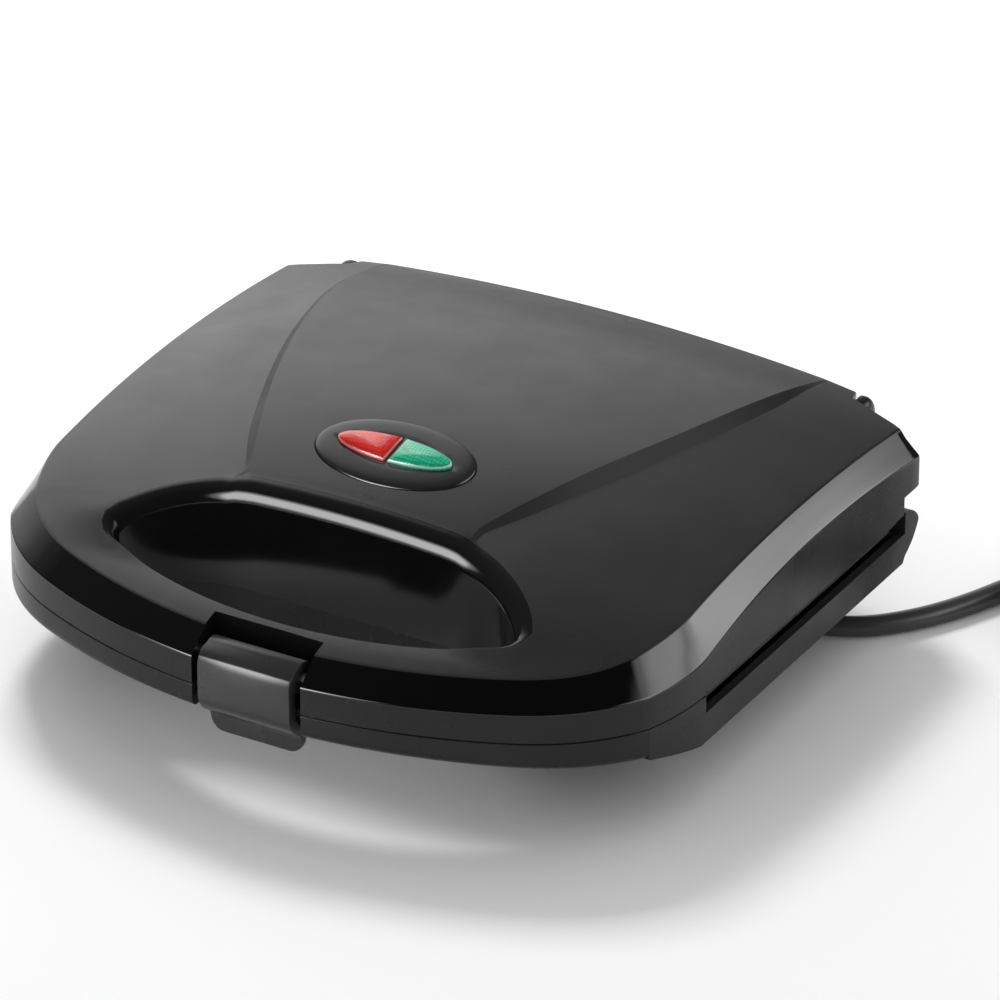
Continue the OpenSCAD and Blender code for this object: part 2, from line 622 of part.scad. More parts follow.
module knuckle_relief() {
    both_sides() {
        rod_x(knuckle_in - 0.5, knuckle_out + 0.4, hinge_y, hinge_z, knuckle_r + 0.5);
        box([knuckle_in - 0.5, hinge_y - knuckle_r - 0.5, 30], [knuckle_out + 0.4, hinge_y + 20, hinge_z]);
        box([barrel_in, barrel_y0, barrel_z0], [barrel_out, barrel_y1, barrel_z1]);
        rod_x(barrel_in - 8, knuckle_in, hinge_y, hinge_z, hinge_pin_r + 0.4, $fn = 24);
    }
}
barrel_in = 80;
barrel_out = 86;
barrel_y0 = 94.5;
barrel_y1 = 103;
barrel_z0 = 51;
barrel_z1 = 62;
bezel_at = [0, -21.3, 77.7];
bezel_tilt = 11;
bezel_a = 26;
bezel_b = 14.8;
bezel_t = 3;
bezel_skirt = 4;
bezel_seat = 3.5;               // width of the ledge that carries the bezel
module bezel_frame() {
    translate(bezel_at) rotate([bezel_tilt, 0, 0]) children();
}
module oval(a, b, low, high) {
    translate([0, 0, low]) linear_extrude(high - low)
        polygon([for (i = [0:59]) [a * cos(6 * i), b * sin(6 * i)]]);
}
module lid_shell() {
    color([0.05, 0.05, 0.055]) difference() {
        union() {
            lid_outer();
            both_sides() box([cavity_half, lip_front_y, lip_z], [cavity_half + lip_t, lip_rear_y, lid_skirt_z + 1]);
        }
        difference() {
            lid_cavity();
            lid_bosses();
        }
        opening_cutter();
        box([-slot_half, -120, 30], [slot_half, slot_rear_y, 70]);
        both_sides() {
            box([-1, base_front_y + 1, 30], [cavity_half, 110, lid_skirt_z]);
            box([cavity_half + lip_t, base_front_y + 1, 30], [half_w + 1, 110, lid_skirt_z]);
            box([cavity_half - 1, base_front_y + 1, 30], [half_w + 1, lip_front_y, lid_skirt_z]);
            box([cavity_half - 1, lip_rear_y, 30], [half_w + 1, 110, lid_skirt_z]);
        }
        box([-half_w - 1, rear_skirt_y, 30], [half_w + 1, 110, rear_skirt_z]);
        knuckle_relief();
        rod_x(-slot_half - 6, slot_half + 6, latch_y, latch_z, latch_pin_r + 0.1, $fn = 24);
        at_screws() translate([0, 0, 30]) cylinder(h = upper_rim_top + 11 - 30, r = screw_r + 0.2, $fn = 16);
        bezel_frame() {
            oval(bezel_a + seat_gap, bezel_b + seat_gap, -bezel_t, 10);
            oval(bezel_a - bezel_seat + seat_gap, bezel_b - bezel_seat + seat_gap, -14, 10);
        }
    }
}
module hinge_barrels() {
    color([0.07, 0.07, 0.075]) both_sides() difference() {
        box([barrel_in, barrel_y0, barrel_z0], [barrel_out, barrel_y1, barrel_z1]);
        rod_x(barrel_in - 1, barrel_out + 1, hinge_y, hinge_z, hinge_pin_r + running);
    }
}
module upper_cooking_plate() {
    color([0.12, 0.12, 0.12]) translate([0, 0, upper_rim_low]) mirror([0, 0, 1]) cooking_plate();
}
module upper_plate_screws() {
    color([0.7, 0.7, 0.72]) at_screws() translate([0, 0, upper_rim_low]) mirror([0, 0, 1]) plate_screw(12);
}
module upper_reflector() {
    color([0.72, 0.72, 0.74]) translate([0, 0, upper_reflector_z]) mirror([0, 0, 1]) reflector();
}
module upper_heating_element() {
    color([0.35, 0.35, 0.36]) translate([0, 0, upper_well_z + element_r]) heating_element();
}
lens_tip = 19;
lens_half_h = 5.2;
lens_gap = 0.6;
lens_r = (lens_tip * lens_tip + lens_half_h * lens_half_h) / (2 * lens_half_h);
module lens(s, grow, low, high) {
    intersection() {
        translate([0, lens_r - lens_half_h, low]) cylinder(h = high - low, r = lens_r + grow, $fn = 120);
        translate([0, lens_half_h - lens_r, low]) cylinder(h = high - low, r = lens_r + grow, $fn = 120);
        box([s > 0 ? lens_gap - grow : -lens_tip, -lens_half_h - 1, low],
            [s > 0 ? lens_tip : -lens_gap + grow, lens_half_h + 1, high]);
    }
}
module indicator_bezel() {
    color([0.06, 0.06, 0.065]) bezel_frame() difference() {
        union() {
            oval(bezel_a, bezel_b, -bezel_t, -1.2);
            oval(bezel_a - 0.8, bezel_b - 0.7, -bezel_t, -0.6);
            oval(bezel_a - 1.7, bezel_b - 1.4, -bezel_t, 0);
            oval(bezel_a - bezel_seat, bezel_b - bezel_seat, -bezel_t - bezel_skirt, -bezel_t + eps);
        }
        for (s = [-1, 1]) lens(s, 0.05, -20, 5);
    }
}
module red_lens() {
    color([0.8, 0.12, 0.1]) bezel_frame() lens(-1, 0, -bezel_t - bezel_skirt, 0.9);
}
module green_lens() {
    color([0.12, 0.6, 0.45]) bezel_frame() lens(1, 0, -bezel_t - bezel_skirt, 0.9);
}
holder_h = 7;
module lamp_holder() {
    color([0.9, 0.9, 0.86]) bezel_frame() translate([0, 0, -bezel_t - bezel_skirt - holder_h]) difference() {
        box([-20, -8, 0], [20, 8, holder_h]);
        for (s = [-1, 1]) translate([s * 9, 0, 1]) cylinder(h = holder_h, r = 3);
    }
}
module neon_lamps() {
    color([0.9, 0.6, 0.4]) bezel_frame() for (s = [-1, 1])
        translate([s * 9, 0, 1 - bezel_t - bezel_skirt - holder_h]) cylinder(h = holder_h - 2, r = 2.7);
}
module lid_wiring() {
    color([0.8, 0.1, 0.08])
        tube([[0, 84, 48], [0, 82, 53], [0, 76, 57], [0, 20, 58.6], [0, -8, 60], [0, -14, 61.8], [0, -17, 63.4]], wire_r, 8);
}
module latch_pin() {
    color([0.75, 0.75, 0.77]) rod_x(-slot_half - 5, slot_half + 5, latch_y, latch_z, latch_pin_r);
}
module clip_profile() {
    translate([latch_y, latch_z]) circle(5);
    polygon([[latch_y, latch_z + 5], [-104, 48.4], [-106.2, 46.8], [-107, 44.4], [-107, 33.4], [-106.2, 30.8],
        [-104.6, 28.6], [-102, 26.8], [-100.5, 25.4], [-100, 23.6], [-100, 19.4], [-97.6, 19.4], [-97.6, 25],
        [-96.8, 26], [-96.8, 28.8], [-100.1, 28.8], [-103.1, 33.2], [-103.1, 40], [-101, 42]]);
}
module latch_clip() {
    color([0.07, 0.07, 0.075]) difference() {
        intersection() {
            along_x(-clip_w / 2, clip_w / 2) clip_profile();
            translate([0, -90, 0]) rotate([90, 0, 0]) linear_extrude(20) {
                translate([-clip_w / 2, 24]) square([clip_w, 30]);
                translate([-clip_w / 2 + 4.5, 19]) square([clip_w - 9, 6]);
                for (s = [-1, 1]) translate([s * (clip_w / 2 - 4.6), 24]) circle(4.6);
            }
        }
        rod_x(-20, 20, latch_y, latch_z, latch_pin_r + running);
    }
}

base_shell();
hinge_pins();
lower_cooking_plate();
lower_plate_screws();
lower_reflector();
lower_heating_element();
thermostat();
thermal_fuse();
terminal_block();
base_wiring();
rubber_feet();
cord_strain_relief();
power_cord();
cord_coil();
cord_tie();
plug_body();
plug_pins();
lid_shell();
hinge_barrels();
upper_cooking_plate();
upper_plate_screws();
upper_reflector();
upper_heating_element();
indicator_bezel();
red_lens();
green_lens();
lamp_holder();
neon_lamps();
lid_wiring();
latch_pin();
latch_clip();
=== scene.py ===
"""Two-sandwich toaster: the lid, base, latch, lamps, plates and cord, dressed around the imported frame."""
import math

import bmesh
import bpy
import numpy as np
from mathutils import Matrix, Vector
from mathutils.geometry import delaunay_2d_cdt


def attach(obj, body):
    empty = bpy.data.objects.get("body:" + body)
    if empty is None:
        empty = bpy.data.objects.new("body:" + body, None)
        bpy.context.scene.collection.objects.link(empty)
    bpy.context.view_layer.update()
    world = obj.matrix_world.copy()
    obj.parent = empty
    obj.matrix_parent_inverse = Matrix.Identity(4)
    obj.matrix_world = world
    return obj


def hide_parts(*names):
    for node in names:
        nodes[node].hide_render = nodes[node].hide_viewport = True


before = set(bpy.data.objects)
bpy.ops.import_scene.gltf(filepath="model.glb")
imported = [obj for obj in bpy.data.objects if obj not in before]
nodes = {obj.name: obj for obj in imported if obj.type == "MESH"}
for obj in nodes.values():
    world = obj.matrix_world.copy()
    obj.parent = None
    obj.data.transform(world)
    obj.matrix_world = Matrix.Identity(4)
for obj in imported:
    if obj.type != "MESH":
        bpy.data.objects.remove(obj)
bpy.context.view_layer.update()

MM = 0.001
scene = bpy.context.scene


def added(name, data):
    """A new object in the scene."""
    obj = bpy.data.objects.new(name, data)
    scene.collection.objects.link(obj)
    return obj


# ---- camera ----
VIEW_TURN = math.radians(30.11)
VIEW_TILT = math.radians(28.63)
VIEW_DISTANCE = 2.439
HINGE_LINE = Vector((0, 0.104, 0.064))  # middle of the lid's rear edge
FRAME_SHIFT = (0.0322, 0.05405)  # how far that point lies right of and above the frame's middle
FOCAL_LENGTH, SENSOR_WIDTH, FAR_CLIP = 288, 36, 50


def place_camera():
    data = bpy.data.cameras.new("camera")
    data.lens = FOCAL_LENGTH
    data.sensor_width = SENSOR_WIDTH
    data.clip_end = FAR_CLIP
    camera = added("camera", data)
    turn = Matrix.Rotation(VIEW_TURN, 4, "Z") @ Matrix.Rotation(math.pi / 2 - VIEW_TILT, 4, "X")
    away = turn @ Vector((-FRAME_SHIFT[0], -FRAME_SHIFT[1], VIEW_DISTANCE))
    camera.matrix_world = Matrix.Translation(HINGE_LINE + away) @ turn
    scene.camera = camera


place_camera()
scene.view_settings.view_transform = "Standard"


# ---- materials ----
def feed(node, *inputs, **values):
    """Fill a shader node: sockets in order or by name, with _ for a blank, and lower-case settings."""
    pairs = list(zip(node.inputs, inputs))
    for name, value in values.items():
        if name[0].islower():
            setattr(node, name, value)
        else:
            pairs.append((node.inputs[name.replace("_", " ")], value))
    for socket, value in pairs:
        if isinstance(value, bpy.types.NodeSocket):
            node.id_data.links.new(value, socket)
        else:
            socket.default_value = value
    return node


def add_node(tree, kind, *inputs, **values):
    return feed(tree.nodes.new("ShaderNode" + kind), *inputs, **values)


class Finish:
    """A node material with a Principled shader, patterned on object coordinates."""

    def __init__(self, name, color, roughness, **sockets):
        self.material = bpy.data.materials.new(name)
        self.material.use_nodes = True
        self.tree = self.material.node_tree
        self.shader = self.tree.nodes["Principled BSDF"]
        self.color = (*color, 1)
        feed(self.shader, Base_Color=self.color, Roughness=roughness, **sockets)
        self.place = add_node(self.tree, "TexCoord").outputs["Object"]
        self.bumped = None

    def noise(self, size, detail=3, stretch=(1, 1, 1)):
        """Noise whose grains are about size millimetres across."""
        mapping = add_node(self.tree, "Mapping", Vector=self.place, Scale=stretch)
        node = add_node(self.tree, "TexNoise", Vector=mapping.outputs["Vector"], Scale=1 / (size * MM),
                        Detail=detail)
        return node.outputs["Fac"]

    def spread(self, value, low, high, start=0.3, end=0.7):
        """Map a pattern to the range from low to high."""
        node = add_node(self.tree, "MapRange", Value=value, From_Min=start, From_Max=end, To_Min=low,
                        To_Max=high)
        return node.outputs["Result"]

    def tinted(self, value, other, start=0.3, end=0.7):
        """Vary the colour by a pattern, from the main one at start to another at end."""
        node = add_node(self.tree, "Mix", data_type="RGBA", A=self.color, B=(*other, 1),
                        Factor=self.spread(value, 0, 1, start, end))
        feed(self.shader, Base_Color=node.outputs["Result"])

    def worn(self, value, low, high):
        """Vary the roughness by a pattern."""
        feed(self.shader, Roughness=self.spread(value, low, high))

    def bump(self, value, depth):
        """Raise the surface by a pattern, depth in millimetres."""
        node = add_node(self.tree, "Bump", Distance=depth * MM, Strength=1, Height=value)
        if self.bumped:
            feed(node, Normal=self.bumped)
        self.bumped = node.outputs["Normal"]
        feed(self.shader, Normal=self.bumped)


GLOSS_PATCH, CLOUD, SINK_MARK = 14, 30, 45  # sizes of the patterns that all mouldings share, in millimetres


def moulded(name, color, roughness, grain, grain_depth, sink_depth, **sockets):
    """Moulded plastic: a fine grain, faint sink marks and slightly uneven gloss; millimetres."""
    f = Finish(name, color, roughness, **sockets)
    f.worn(f.noise(GLOSS_PATCH, 4), roughness * 0.88, roughness * 1.14)
    f.tinted(f.noise(CLOUD, 2), tuple(c * 1.25 for c in color))
    f.bump(f.noise(SINK_MARK, 1), sink_depth)
    f.bump(f.noise(grain, 2), grain_depth)
    return f.material


TOP = moulded("satin_top_plastic", (0.018, 0.018, 0.019), 0.3, 0.35, 0.0012, 0.02)
# The bevel beside the raised panel: a slightly darker colour and a weaker, rougher reflection than the
# top's, painted shade of the crease.
BEVEL = moulded("bevel_painted_shade_plastic", (0.017, 0.017, 0.018), 0.42, 0.35, 0.0012, 0.02,
                Specular_IOR_Level=0.2)
BAND = moulded("polished_band_plastic", (0.0015, 0.0015, 0.0016), 0.09, 0.6, 0.0002, 0.01)
# Lid's skirt and base: colour darker than the top's and weak reflection, partly the plastic's own, partly
# painted shade of the lower walls and the shadowed floor they mirror.
SKIRT = moulded("skirt_plastic", (0.014, 0.014, 0.015), 0.28, 0.35, 0.001, 0.02,
                Specular_IOR_Level=0.2)
# Walls and lip of the finger opening, and the cut faces of the latch's slot and the bezel's seat: glossy,
# with a colour darker than the top's, painted shade of these recesses.
FLARE = moulded("glossy_opening_plastic", (0.006, 0.006, 0.0063), 0.11, 0.6, 0.0002, 0.01,
                Specular_IOR_Level=0.35)
INNER = moulded("inner_plastic", (0.009, 0.009, 0.0095), 0.42, 0.5, 0.006, 0.02)
LATCH = moulded("latch_plastic", (0.02, 0.02, 0.021), 0.28, 0.35, 0.0015, 0.02)
BEZEL = moulded("bezel_plastic", (0.013, 0.013, 0.014), 0.2, 0.35, 0.0008, 0.01)
RUBBER = moulded("foot_rubber", (0.035, 0.035, 0.036), 0.7, 0.5, 0.02, 0.05)
FLEX = moulded("cord_rubber", (0.036, 0.036, 0.037), 0.34, 0.7, 0.012, 0.02)
TIE = moulded("tie_plastic", (0.05, 0.05, 0.052), 0.45, 0.6, 0.01, 0.02)
NYLON = moulded("white_nylon", (0.82, 0.82, 0.78), 0.45, 0.6, 0.01, 0.03)
WIRE = moulded("red_silicone", (0.62, 0.05, 0.035), 0.4, 0.5, 0.01, 0.02)
CERAMIC = moulded("ceramic", (0.72, 0.67, 0.58), 0.65, 0.4, 0.02, 0.03)


def nonstick():
    """Sprayed coating with fine light flecks, rubbed a little smoother in patches."""
    f = Finish("nonstick_coating", (0.035, 0.035, 0.036), 0.4)
    f.tinted(f.noise(1.1, 5), (0.075, 0.074, 0.072))
    f.worn(f.noise(9, 5), 0.32, 0.5)
    f.bump(f.noise(0.5, 3), 0.02)
    return f.material


def metal(name, color, roughness, stretch, depth):
    """Metal with dull patches and drawing marks, which stretch lengthens; depth in millimetres."""
    f = Finish(name, color, roughness, Metallic=1.0)
    f.tinted(f.noise(8, 4), tuple(c * 0.82 for c in color))
    f.worn(f.noise(2.5, 4, stretch), roughness * 0.7, roughness * 1.3)
    f.bump(f.noise(1.2, 3, stretch), depth)
    return f.material


NONSTICK = nonstick()
ZINC = metal("zinc_plated_steel", (0.4, 0.4, 0.42), 0.5, (1, 1, 1), 0.004)
TINNED = metal("tinned_sheet", (0.7, 0.7, 0.71), 0.32, (0.06, 1, 1), 0.005)
ELEMENT = metal("heat_darkened_steel", (0.2, 0.19, 0.185), 0.48, (0.2, 1, 1), 0.01)
BRASS = metal("nickelled_brass", (0.78, 0.73, 0.6), 0.22, (1, 1, 1), 0.003)

PRISM_SIZE, PRISM_EDGE, PRISM_DEPTH = 1.1, 0.28, 0.09


def lens_plastic(name, color, deep):
    """Clear tinted plastic whose back is moulded in small prisms."""
    f = Finish(name, color, 0.08, Transmission_Weight=0.35, IOR=1.49,
               Coat_Weight=0.6, Coat_Roughness=0.03)
    prisms = add_node(f.tree, "TexVoronoi", feature="DISTANCE_TO_EDGE", Vector=f.place,
                      Scale=1 / (PRISM_SIZE * MM), Randomness=0.15)
    f.tinted(prisms.outputs["Distance"], deep, PRISM_EDGE, 0)
    f.bump(prisms.outputs["Distance"], PRISM_DEPTH)
    return f.material


def lamp_glass():
    f = Finish("lamp_glass", (0.95, 0.8, 0.66), 0.05, Transmission_Weight=0.9, IOR=1.5)
    f.bump(f.noise(2, 2), 0.02)
    return f.material


RED = lens_plastic("red_lens_plastic", (0.95, 0.05, 0.038), (0.66, 0.014, 0.012))
GREEN = lens_plastic("green_lens_plastic", (0.04, 0.74, 0.42), (0.01, 0.38, 0.2))
# Paler colours for the belts just under each lens's rim: a painted highlight of the rim's edge.
RED_RIM_HIGHLIGHT = moulded("red_lens_painted_highlight", (0.6, 0.2, 0.17), 0.15, 0.6, 0.001, 0.01)
GREEN_RIM_HIGHLIGHT = moulded("green_lens_painted_highlight", (0.3, 0.62, 0.46), 0.15, 0.6, 0.001, 0.01)
GLASS = lamp_glass()


# ---- making pieces ----
def focus(obj):
    """Select one object alone, for the operators."""
    bpy.ops.object.select_all(action="DESELECT")
    obj.select_set(True)
    bpy.context.view_layer.objects.active = obj


def mesh_object(name, points, faces, slots=None):
    """An object from points in millimetres."""
    mesh = bpy.data.meshes.new(name)
    mesh.from_pydata([tuple(c * MM for c in p) for p in points], [], faces)
    if slots is not None:
        mesh.polygons.foreach_set("material_index", slots)
    mesh.update()
    return added(name, mesh)


def read(items, name, width=1, kind=int):
    """A value of every item, such as a vertex or a face, in one array."""
    found = np.zeros(len(items) * width, kind)
    items.foreach_get(name, found)
    return found


def modify(obj, kind, **settings):
    """Add a modifier and apply it."""
    focus(obj)
    modifier = obj.modifiers.new(kind.lower(), kind)
    for key, value in settings.items():
        setattr(modifier, key, value)
    bpy.ops.object.modifier_apply(modifier=modifier.name)


def cut(obj, cutter, operation="DIFFERENCE", slot=None):
    """Boolean with a cutter that is used up; slot is the material index of the faces it leaves."""
    if slot is not None:
        faces = cutter.data.polygons
        faces.foreach_set("material_index", np.full(len(faces), slot, np.int32))
    modify(obj, "BOOLEAN", object=cutter, operation=operation, solver="MANIFOLD")
    bpy.data.objects.remove(cutter)


def stacked(name, rings, slots=None):
    """Closed solid through rings of points, anticlockwise from above and listed from low to high.

    slots gives the material index of each belt between two rings; the top cap has the last one's."""
    n = len(rings[0])
    slots = slots or [0] * (len(rings) - 1)
    points = [p for ring in rings for p in ring]
    faces = [list(range(n - 1, -1, -1)), list(range(len(points) - n, len(points)))]
    marks = [0, slots[-1]]
    for r in range(len(rings) - 1):
        for i in range(n):
            j = (i + 1) % n
            faces.append((r * n + i, r * n + j, (r + 1) * n + j, (r + 1) * n + i))
            marks.append(slots[r])
    return mesh_object(name, points, faces, marks)


def prism(name, outline, low, high, axis="z"):
    """Straight solid from low to high along an axis, over an outline in (y, z), (z, x) or (x, y)."""
    def at(p, h):
        return {"x": (h, p[0], p[1]), "y": (p[1], h, p[0]), "z": (p[0], p[1], h)}[axis]
    if sum(p[0] * q[1] - q[0] * p[1] for p, q in zip(outline, [*outline[1:], outline[0]])) < 0:
        outline = outline[::-1]  # anticlockwise, so that the faces point outwards
    return stacked(name, [[at(p, h) for p in outline] for h in (low, high)])


def block(name, low, high):
    """Straight block between two corners."""
    plan = [(low[0], low[1]), (high[0], low[1]), (high[0], high[1]), (low[0], high[1])]
    return prism(name, plan, low[2], high[2])


def turned(name, profile, count=48):
    """Solid of revolution about Z through (radius, height) points listed from low to high."""
    return stacked(name, [[(*p, h) for p in circle_points((0, 0), r, count)] for r, h in profile])


def polar(centre, radius, degrees):
    """The point at a distance and a direction from a centre."""
    a = math.radians(degrees)
    return centre[0] + radius * math.cos(a), centre[1] + radius * math.sin(a)


def circle_points(centre, radius, count, start=0, turn=360):
    return [polar(centre, radius, start + turn * i / count) for i in range(count)]


def frame_at(place, degrees, axis):
    """The place and turn of a piece's own frame, the place in millimetres."""
    return Matrix.Translation(Vector(place) * MM) @ Matrix.Rotation(math.radians(degrees), 4, axis)


def move_mesh(obj, matrix):
    """Place the mesh itself, its faces still outwards where the matrix mirrors."""
    obj.data.transform(matrix)
    if matrix.determinant() < 0:
        obj.data.flip_normals()
    return obj


def soften(obj, width, degrees=30):
    """Round the sharp edges, width in millimetres."""
    modify(obj, "BEVEL", width=width * MM, segments=2, limit_method="ANGLE",
           angle_limit=math.radians(degrees), miter_outer="MITER_ARC")


def smooth_by_angle(obj, degrees, weighted=False):
    """Smooth shading with sharp edges kept; weighted keeps the large flat faces flat."""
    focus(obj)
    bpy.ops.object.shade_smooth_by_angle(angle=math.radians(degrees))
    if weighted:
        modify(obj, "WEIGHTED_NORMAL", keep_sharp=True)


def finish_piece(obj, name, body, materials, replaced):
    """Name a piece, give it its materials, tie it to its body and hide the node it replaces."""
    obj.name = name
    obj.data.name = name
    indices = read(obj.data.polygons, "material_index")
    obj.data.materials.clear()  # sets every face's index to 0
    for material in materials:
        obj.data.materials.append(material)
    obj.data.polygons.foreach_set("material_index", np.minimum(indices, len(materials) - 1))
    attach(obj, body)
    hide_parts(replaced)


MERGE_GAP = 0.002
FLAT_ANGLE, ROUNDED_ANGLE, SHADED_ANGLE = 0.4, 28, 32


def refined(node, name, body, slot, material, bevel):
    """A copy of a node with its flat faces joined and its edges rounded; bevel in millimetres."""
    obj = added(name, nodes[node].data.copy())
    obj.matrix_basis = nodes[node].matrix_basis
    focus(obj)
    bpy.ops.object.mode_set(mode="EDIT")
    bpy.ops.mesh.select_all(action="SELECT")
    bpy.ops.mesh.remove_doubles(threshold=MERGE_GAP * MM)
    bpy.ops.mesh.customdata_custom_splitnormals_clear()
    bpy.ops.mesh.dissolve_limited(angle_limit=math.radians(FLAT_ANGLE))
    bpy.ops.object.mode_set(mode="OBJECT")
    soften(obj, bevel, ROUNDED_ANGLE)
    smooth_by_angle(obj, SHADED_ANGLE)
    finish_piece(obj, name, body, [material], node)


# ---- plan and heights of the housing, in millimetres ----
HALF_W = 113
FRONT_R, FRONT_Y = 188, 106.3
FRONT_C = FRONT_R - FRONT_Y
SIDE_R, SIDE_Y = 78, -35.7
CORNER_R = 64
SIDE_X = HALF_W - SIDE_R
SIDE_ANGLE, CORNER_ANGLE = 20, 30  # where the side's arc and the corner's arc meet in a crease
CREASE = polar((SIDE_X, SIDE_Y), SIDE_R, -SIDE_ANGLE)
CORNER = polar(CREASE, -CORNER_R, -CORNER_ANGLE)
FRONT_END = math.degrees(math.asin(CORNER[0] / (FRONT_R - CORNER_R))) - 90  # where the front's arc ends
BAND_FRONT, BAND_SIDE = 8, 6.1  # how far the polished band leans in
BROW_Y, EDGE_TOP, BAND_TOP = 29, 65.2, 57.3  # highest place of the top's outer edge and of the band's foot
FALL_RUN = 40  # length over which they fall towards the handle
CROWN_Y, CROWN_TOP = 17, 79.7  # the highest place of the raised panel
PANEL_FRONT, PANEL_REAR = -39, 104
PANEL_BOW = 0.042  # rise of the panel's middle, as a share of its half width
PANEL_RUN_IN = 10  # length over which the panel rises, ahead of its front
SEAM = 36
BOW = 2


def smooth(t):
    """Ease from 0 to 1."""
    t = np.clip(t, 0, 1)
    return t * t * (3 - 2 * t)


def soft_max(a, b, s):
    """The greater of two heights, rounded over s where they cross."""
    return (a + b) / 2 + np.sqrt(((a - b) / 2) ** 2 + s * s)


def falling_z(y, top, rear_bow, front_bow, handle, rounding):
    """Height that falls both ways from the brow and ahead of it runs into the handle's own."""
    back = y - BROW_Y
    return np.where(y > BROW_Y, top - rear_bow * back ** 2,
                    soft_max(top - front_bow * back ** 2, handle, rounding * smooth(-back / FALL_RUN)))


def edge_z(y):
    """Height of the top's outer edge, where the band begins."""
    return falling_z(y, EDGE_TOP, 0.00093, 0.00124, 52 + 0.04 * (y + 98), 0.8)


def band_z(y):
    """Height of the band's foot, where the skirt begins."""
    return falling_z(y, BAND_TOP, 0.00107, 0.0022, 45.2 + 0.03 * (y + 106), 0.5)


def body_arch(y):
    """How far the top arches over its outer edges."""
    return 12.4 + 3.1 * np.clip((y + 30) / 93, 0, 1) ** 2 - 6.3 * np.clip((y - 63) / 41, 0, 1) ** 3


def crown_z(y):
    """Height of the raised panel along its middle."""
    rear = CROWN_TOP - 12.4 * (np.maximum(y - CROWN_Y, 0) / 87) ** 2.8
    return np.where(y > CROWN_Y, rear, CROWN_TOP - 0.0021 * (y - CROWN_Y) ** 2)


def panel_half(y):
    """Half the panel's width."""
    t = (y - PANEL_FRONT) / (PANEL_REAR - PANEL_FRONT)
    return 38.9 + 37 * np.sin(np.pi / 2 * np.clip(t, 0, 1)) + 4 * t * (1 - t)


def bevel_width(y):
    """Width of the bevel beside the panel, narrower at both ends."""
    return 1.4 + 2.1 * smooth((y + 46) / 26) * smooth((PANEL_REAR - y) / 40)


def arc(centre, radius, start, end, count):
    """Points along an arc, each with its outward direction; angles in degrees."""
    return [(*polar(centre, radius, a), a) for a in np.linspace(start, end, count)]


# the plan of the housing from the middle of the front to the right rear corner: x, y, outward direction
STATIONS = (arc((0, FRONT_C), FRONT_R, -90, FRONT_END, 34)
            + arc(CORNER, CORNER_R, FRONT_END, -CORNER_ANGLE, 15)[1:-1]
            + [(*CREASE, -(SIDE_ANGLE + CORNER_ANGLE) / 2)]
            + arc((SIDE_X, SIDE_Y), SIDE_R, -SIDE_ANGLE, 0, 9)[1:]
            + [(HALF_W, y, 0) for y in np.linspace(-33, 93, 43)])


def inset(station, d):
    """A point of the plan drawn in by a distance."""
    return polar(station, -d, station[2])


def band_inset(y):
    """How far the band leans in: more round the handle than along the sides."""
    return BAND_FRONT + (BAND_SIDE - BAND_FRONT) * float(smooth((y + 65) / 28))


TOP_EDGE = [inset(s, band_inset(s[1])) for s in STATIONS]
EDGE_X, EDGE_Y = np.array(TOP_EDGE).T
HANDLE_Y, HANDLE_RUN = -64, 18  # where the arched top turns into the handle, and over what length
HANDLE_SWELL, SWELL_RUN = 1.8, 12  # how far the handle swells inside its edge


def half_width(y):
    """Half the top's width between its outer edges."""
    return np.interp(y, EDGE_Y, EDGE_X)


def side_height(x, y):
    """Height of the lid's top beside the raised panel and on the handle."""
    k = smooth((HANDLE_Y - y) / HANDLE_RUN)
    w = np.maximum(half_width(np.maximum(y, -84)), 1)
    from_front = np.clip((FRONT_R - BAND_FRONT - np.hypot(x, y - FRONT_C)) / SWELL_RUN, 0, 1)
    return (edge_z(y) + (1 - k) * body_arch(y) * (1 - (x / w) ** 2)
            + k * HANDLE_SWELL * (1 - (1 - from_front) ** 2))


def panel_share(y):
    """How much of the panel's own form there is: 0 ahead of it, 1 from its front on."""
    return smooth((y - PANEL_FRONT + PANEL_RUN_IN) / 8)


def panel_rise(y):
    """Height of the bevel beside the panel."""
    p = panel_half(y)
    raised = crown_z(y) - PANEL_BOW * p - side_height(p, y)
    return soft_max(raised, 0 * y, 0.12) * panel_share(y)


def region_height(x, y, region):
    """Height in a named region: 0 beside the panel, 1 on its bevel, 2 on the panel."""
    p = panel_half(y)
    side = side_height(x, y)
    rise = panel_rise(y)
    bevel = side + rise * (1 - (np.abs(x) - p) / bevel_width(y))
    k = panel_share(y)
    panel = k * (side_height(p, y) + PANEL_BOW * (p - x * x / p)) + (1 - k) * side + rise
    return np.select([region == 0, region == 1], [side, bevel], panel)


def region_of(x, y):
    """The region that a place of the top belongs to, as region_height names them."""
    p = panel_half(y)
    ax = np.abs(x)
    beside = (y < PANEL_FRONT - PANEL_RUN_IN) | (ax >= p + bevel_width(y))
    return np.where(beside, 0, np.where(ax > p, 1, 2))


def top_height(x, y):
    """Height of the lid's top."""
    x, y = np.asarray(x, float), np.asarray(y, float)
    return region_height(x, y, region_of(x, y))


def unit(vectors):
    return vectors / np.linalg.norm(vectors, axis=1)[:, None]


def drawn_in(loop, d):
    """An anticlockwise closed loop drawn in by a distance, with mitred corners."""
    p = np.array(loop)
    ahead = unit(np.roll(p, -1, 0) - p)
    behind = np.roll(ahead, 1, 0)
    n = unit(np.stack([ahead[:, 1] + behind[:, 1], -ahead[:, 0] - behind[:, 0]], 1))
    square = np.sum(n * np.stack([ahead[:, 1], -ahead[:, 0]], 1), 1)
    return p - d * (n / np.maximum(square, 0.5)[:, None])


def closed(right):
    """A closed loop from its right half, which starts and ends on the middle line."""
    left = [(-p[0], p[1], *p[2:]) for p in right[-2:0:-1]]
    return right + left


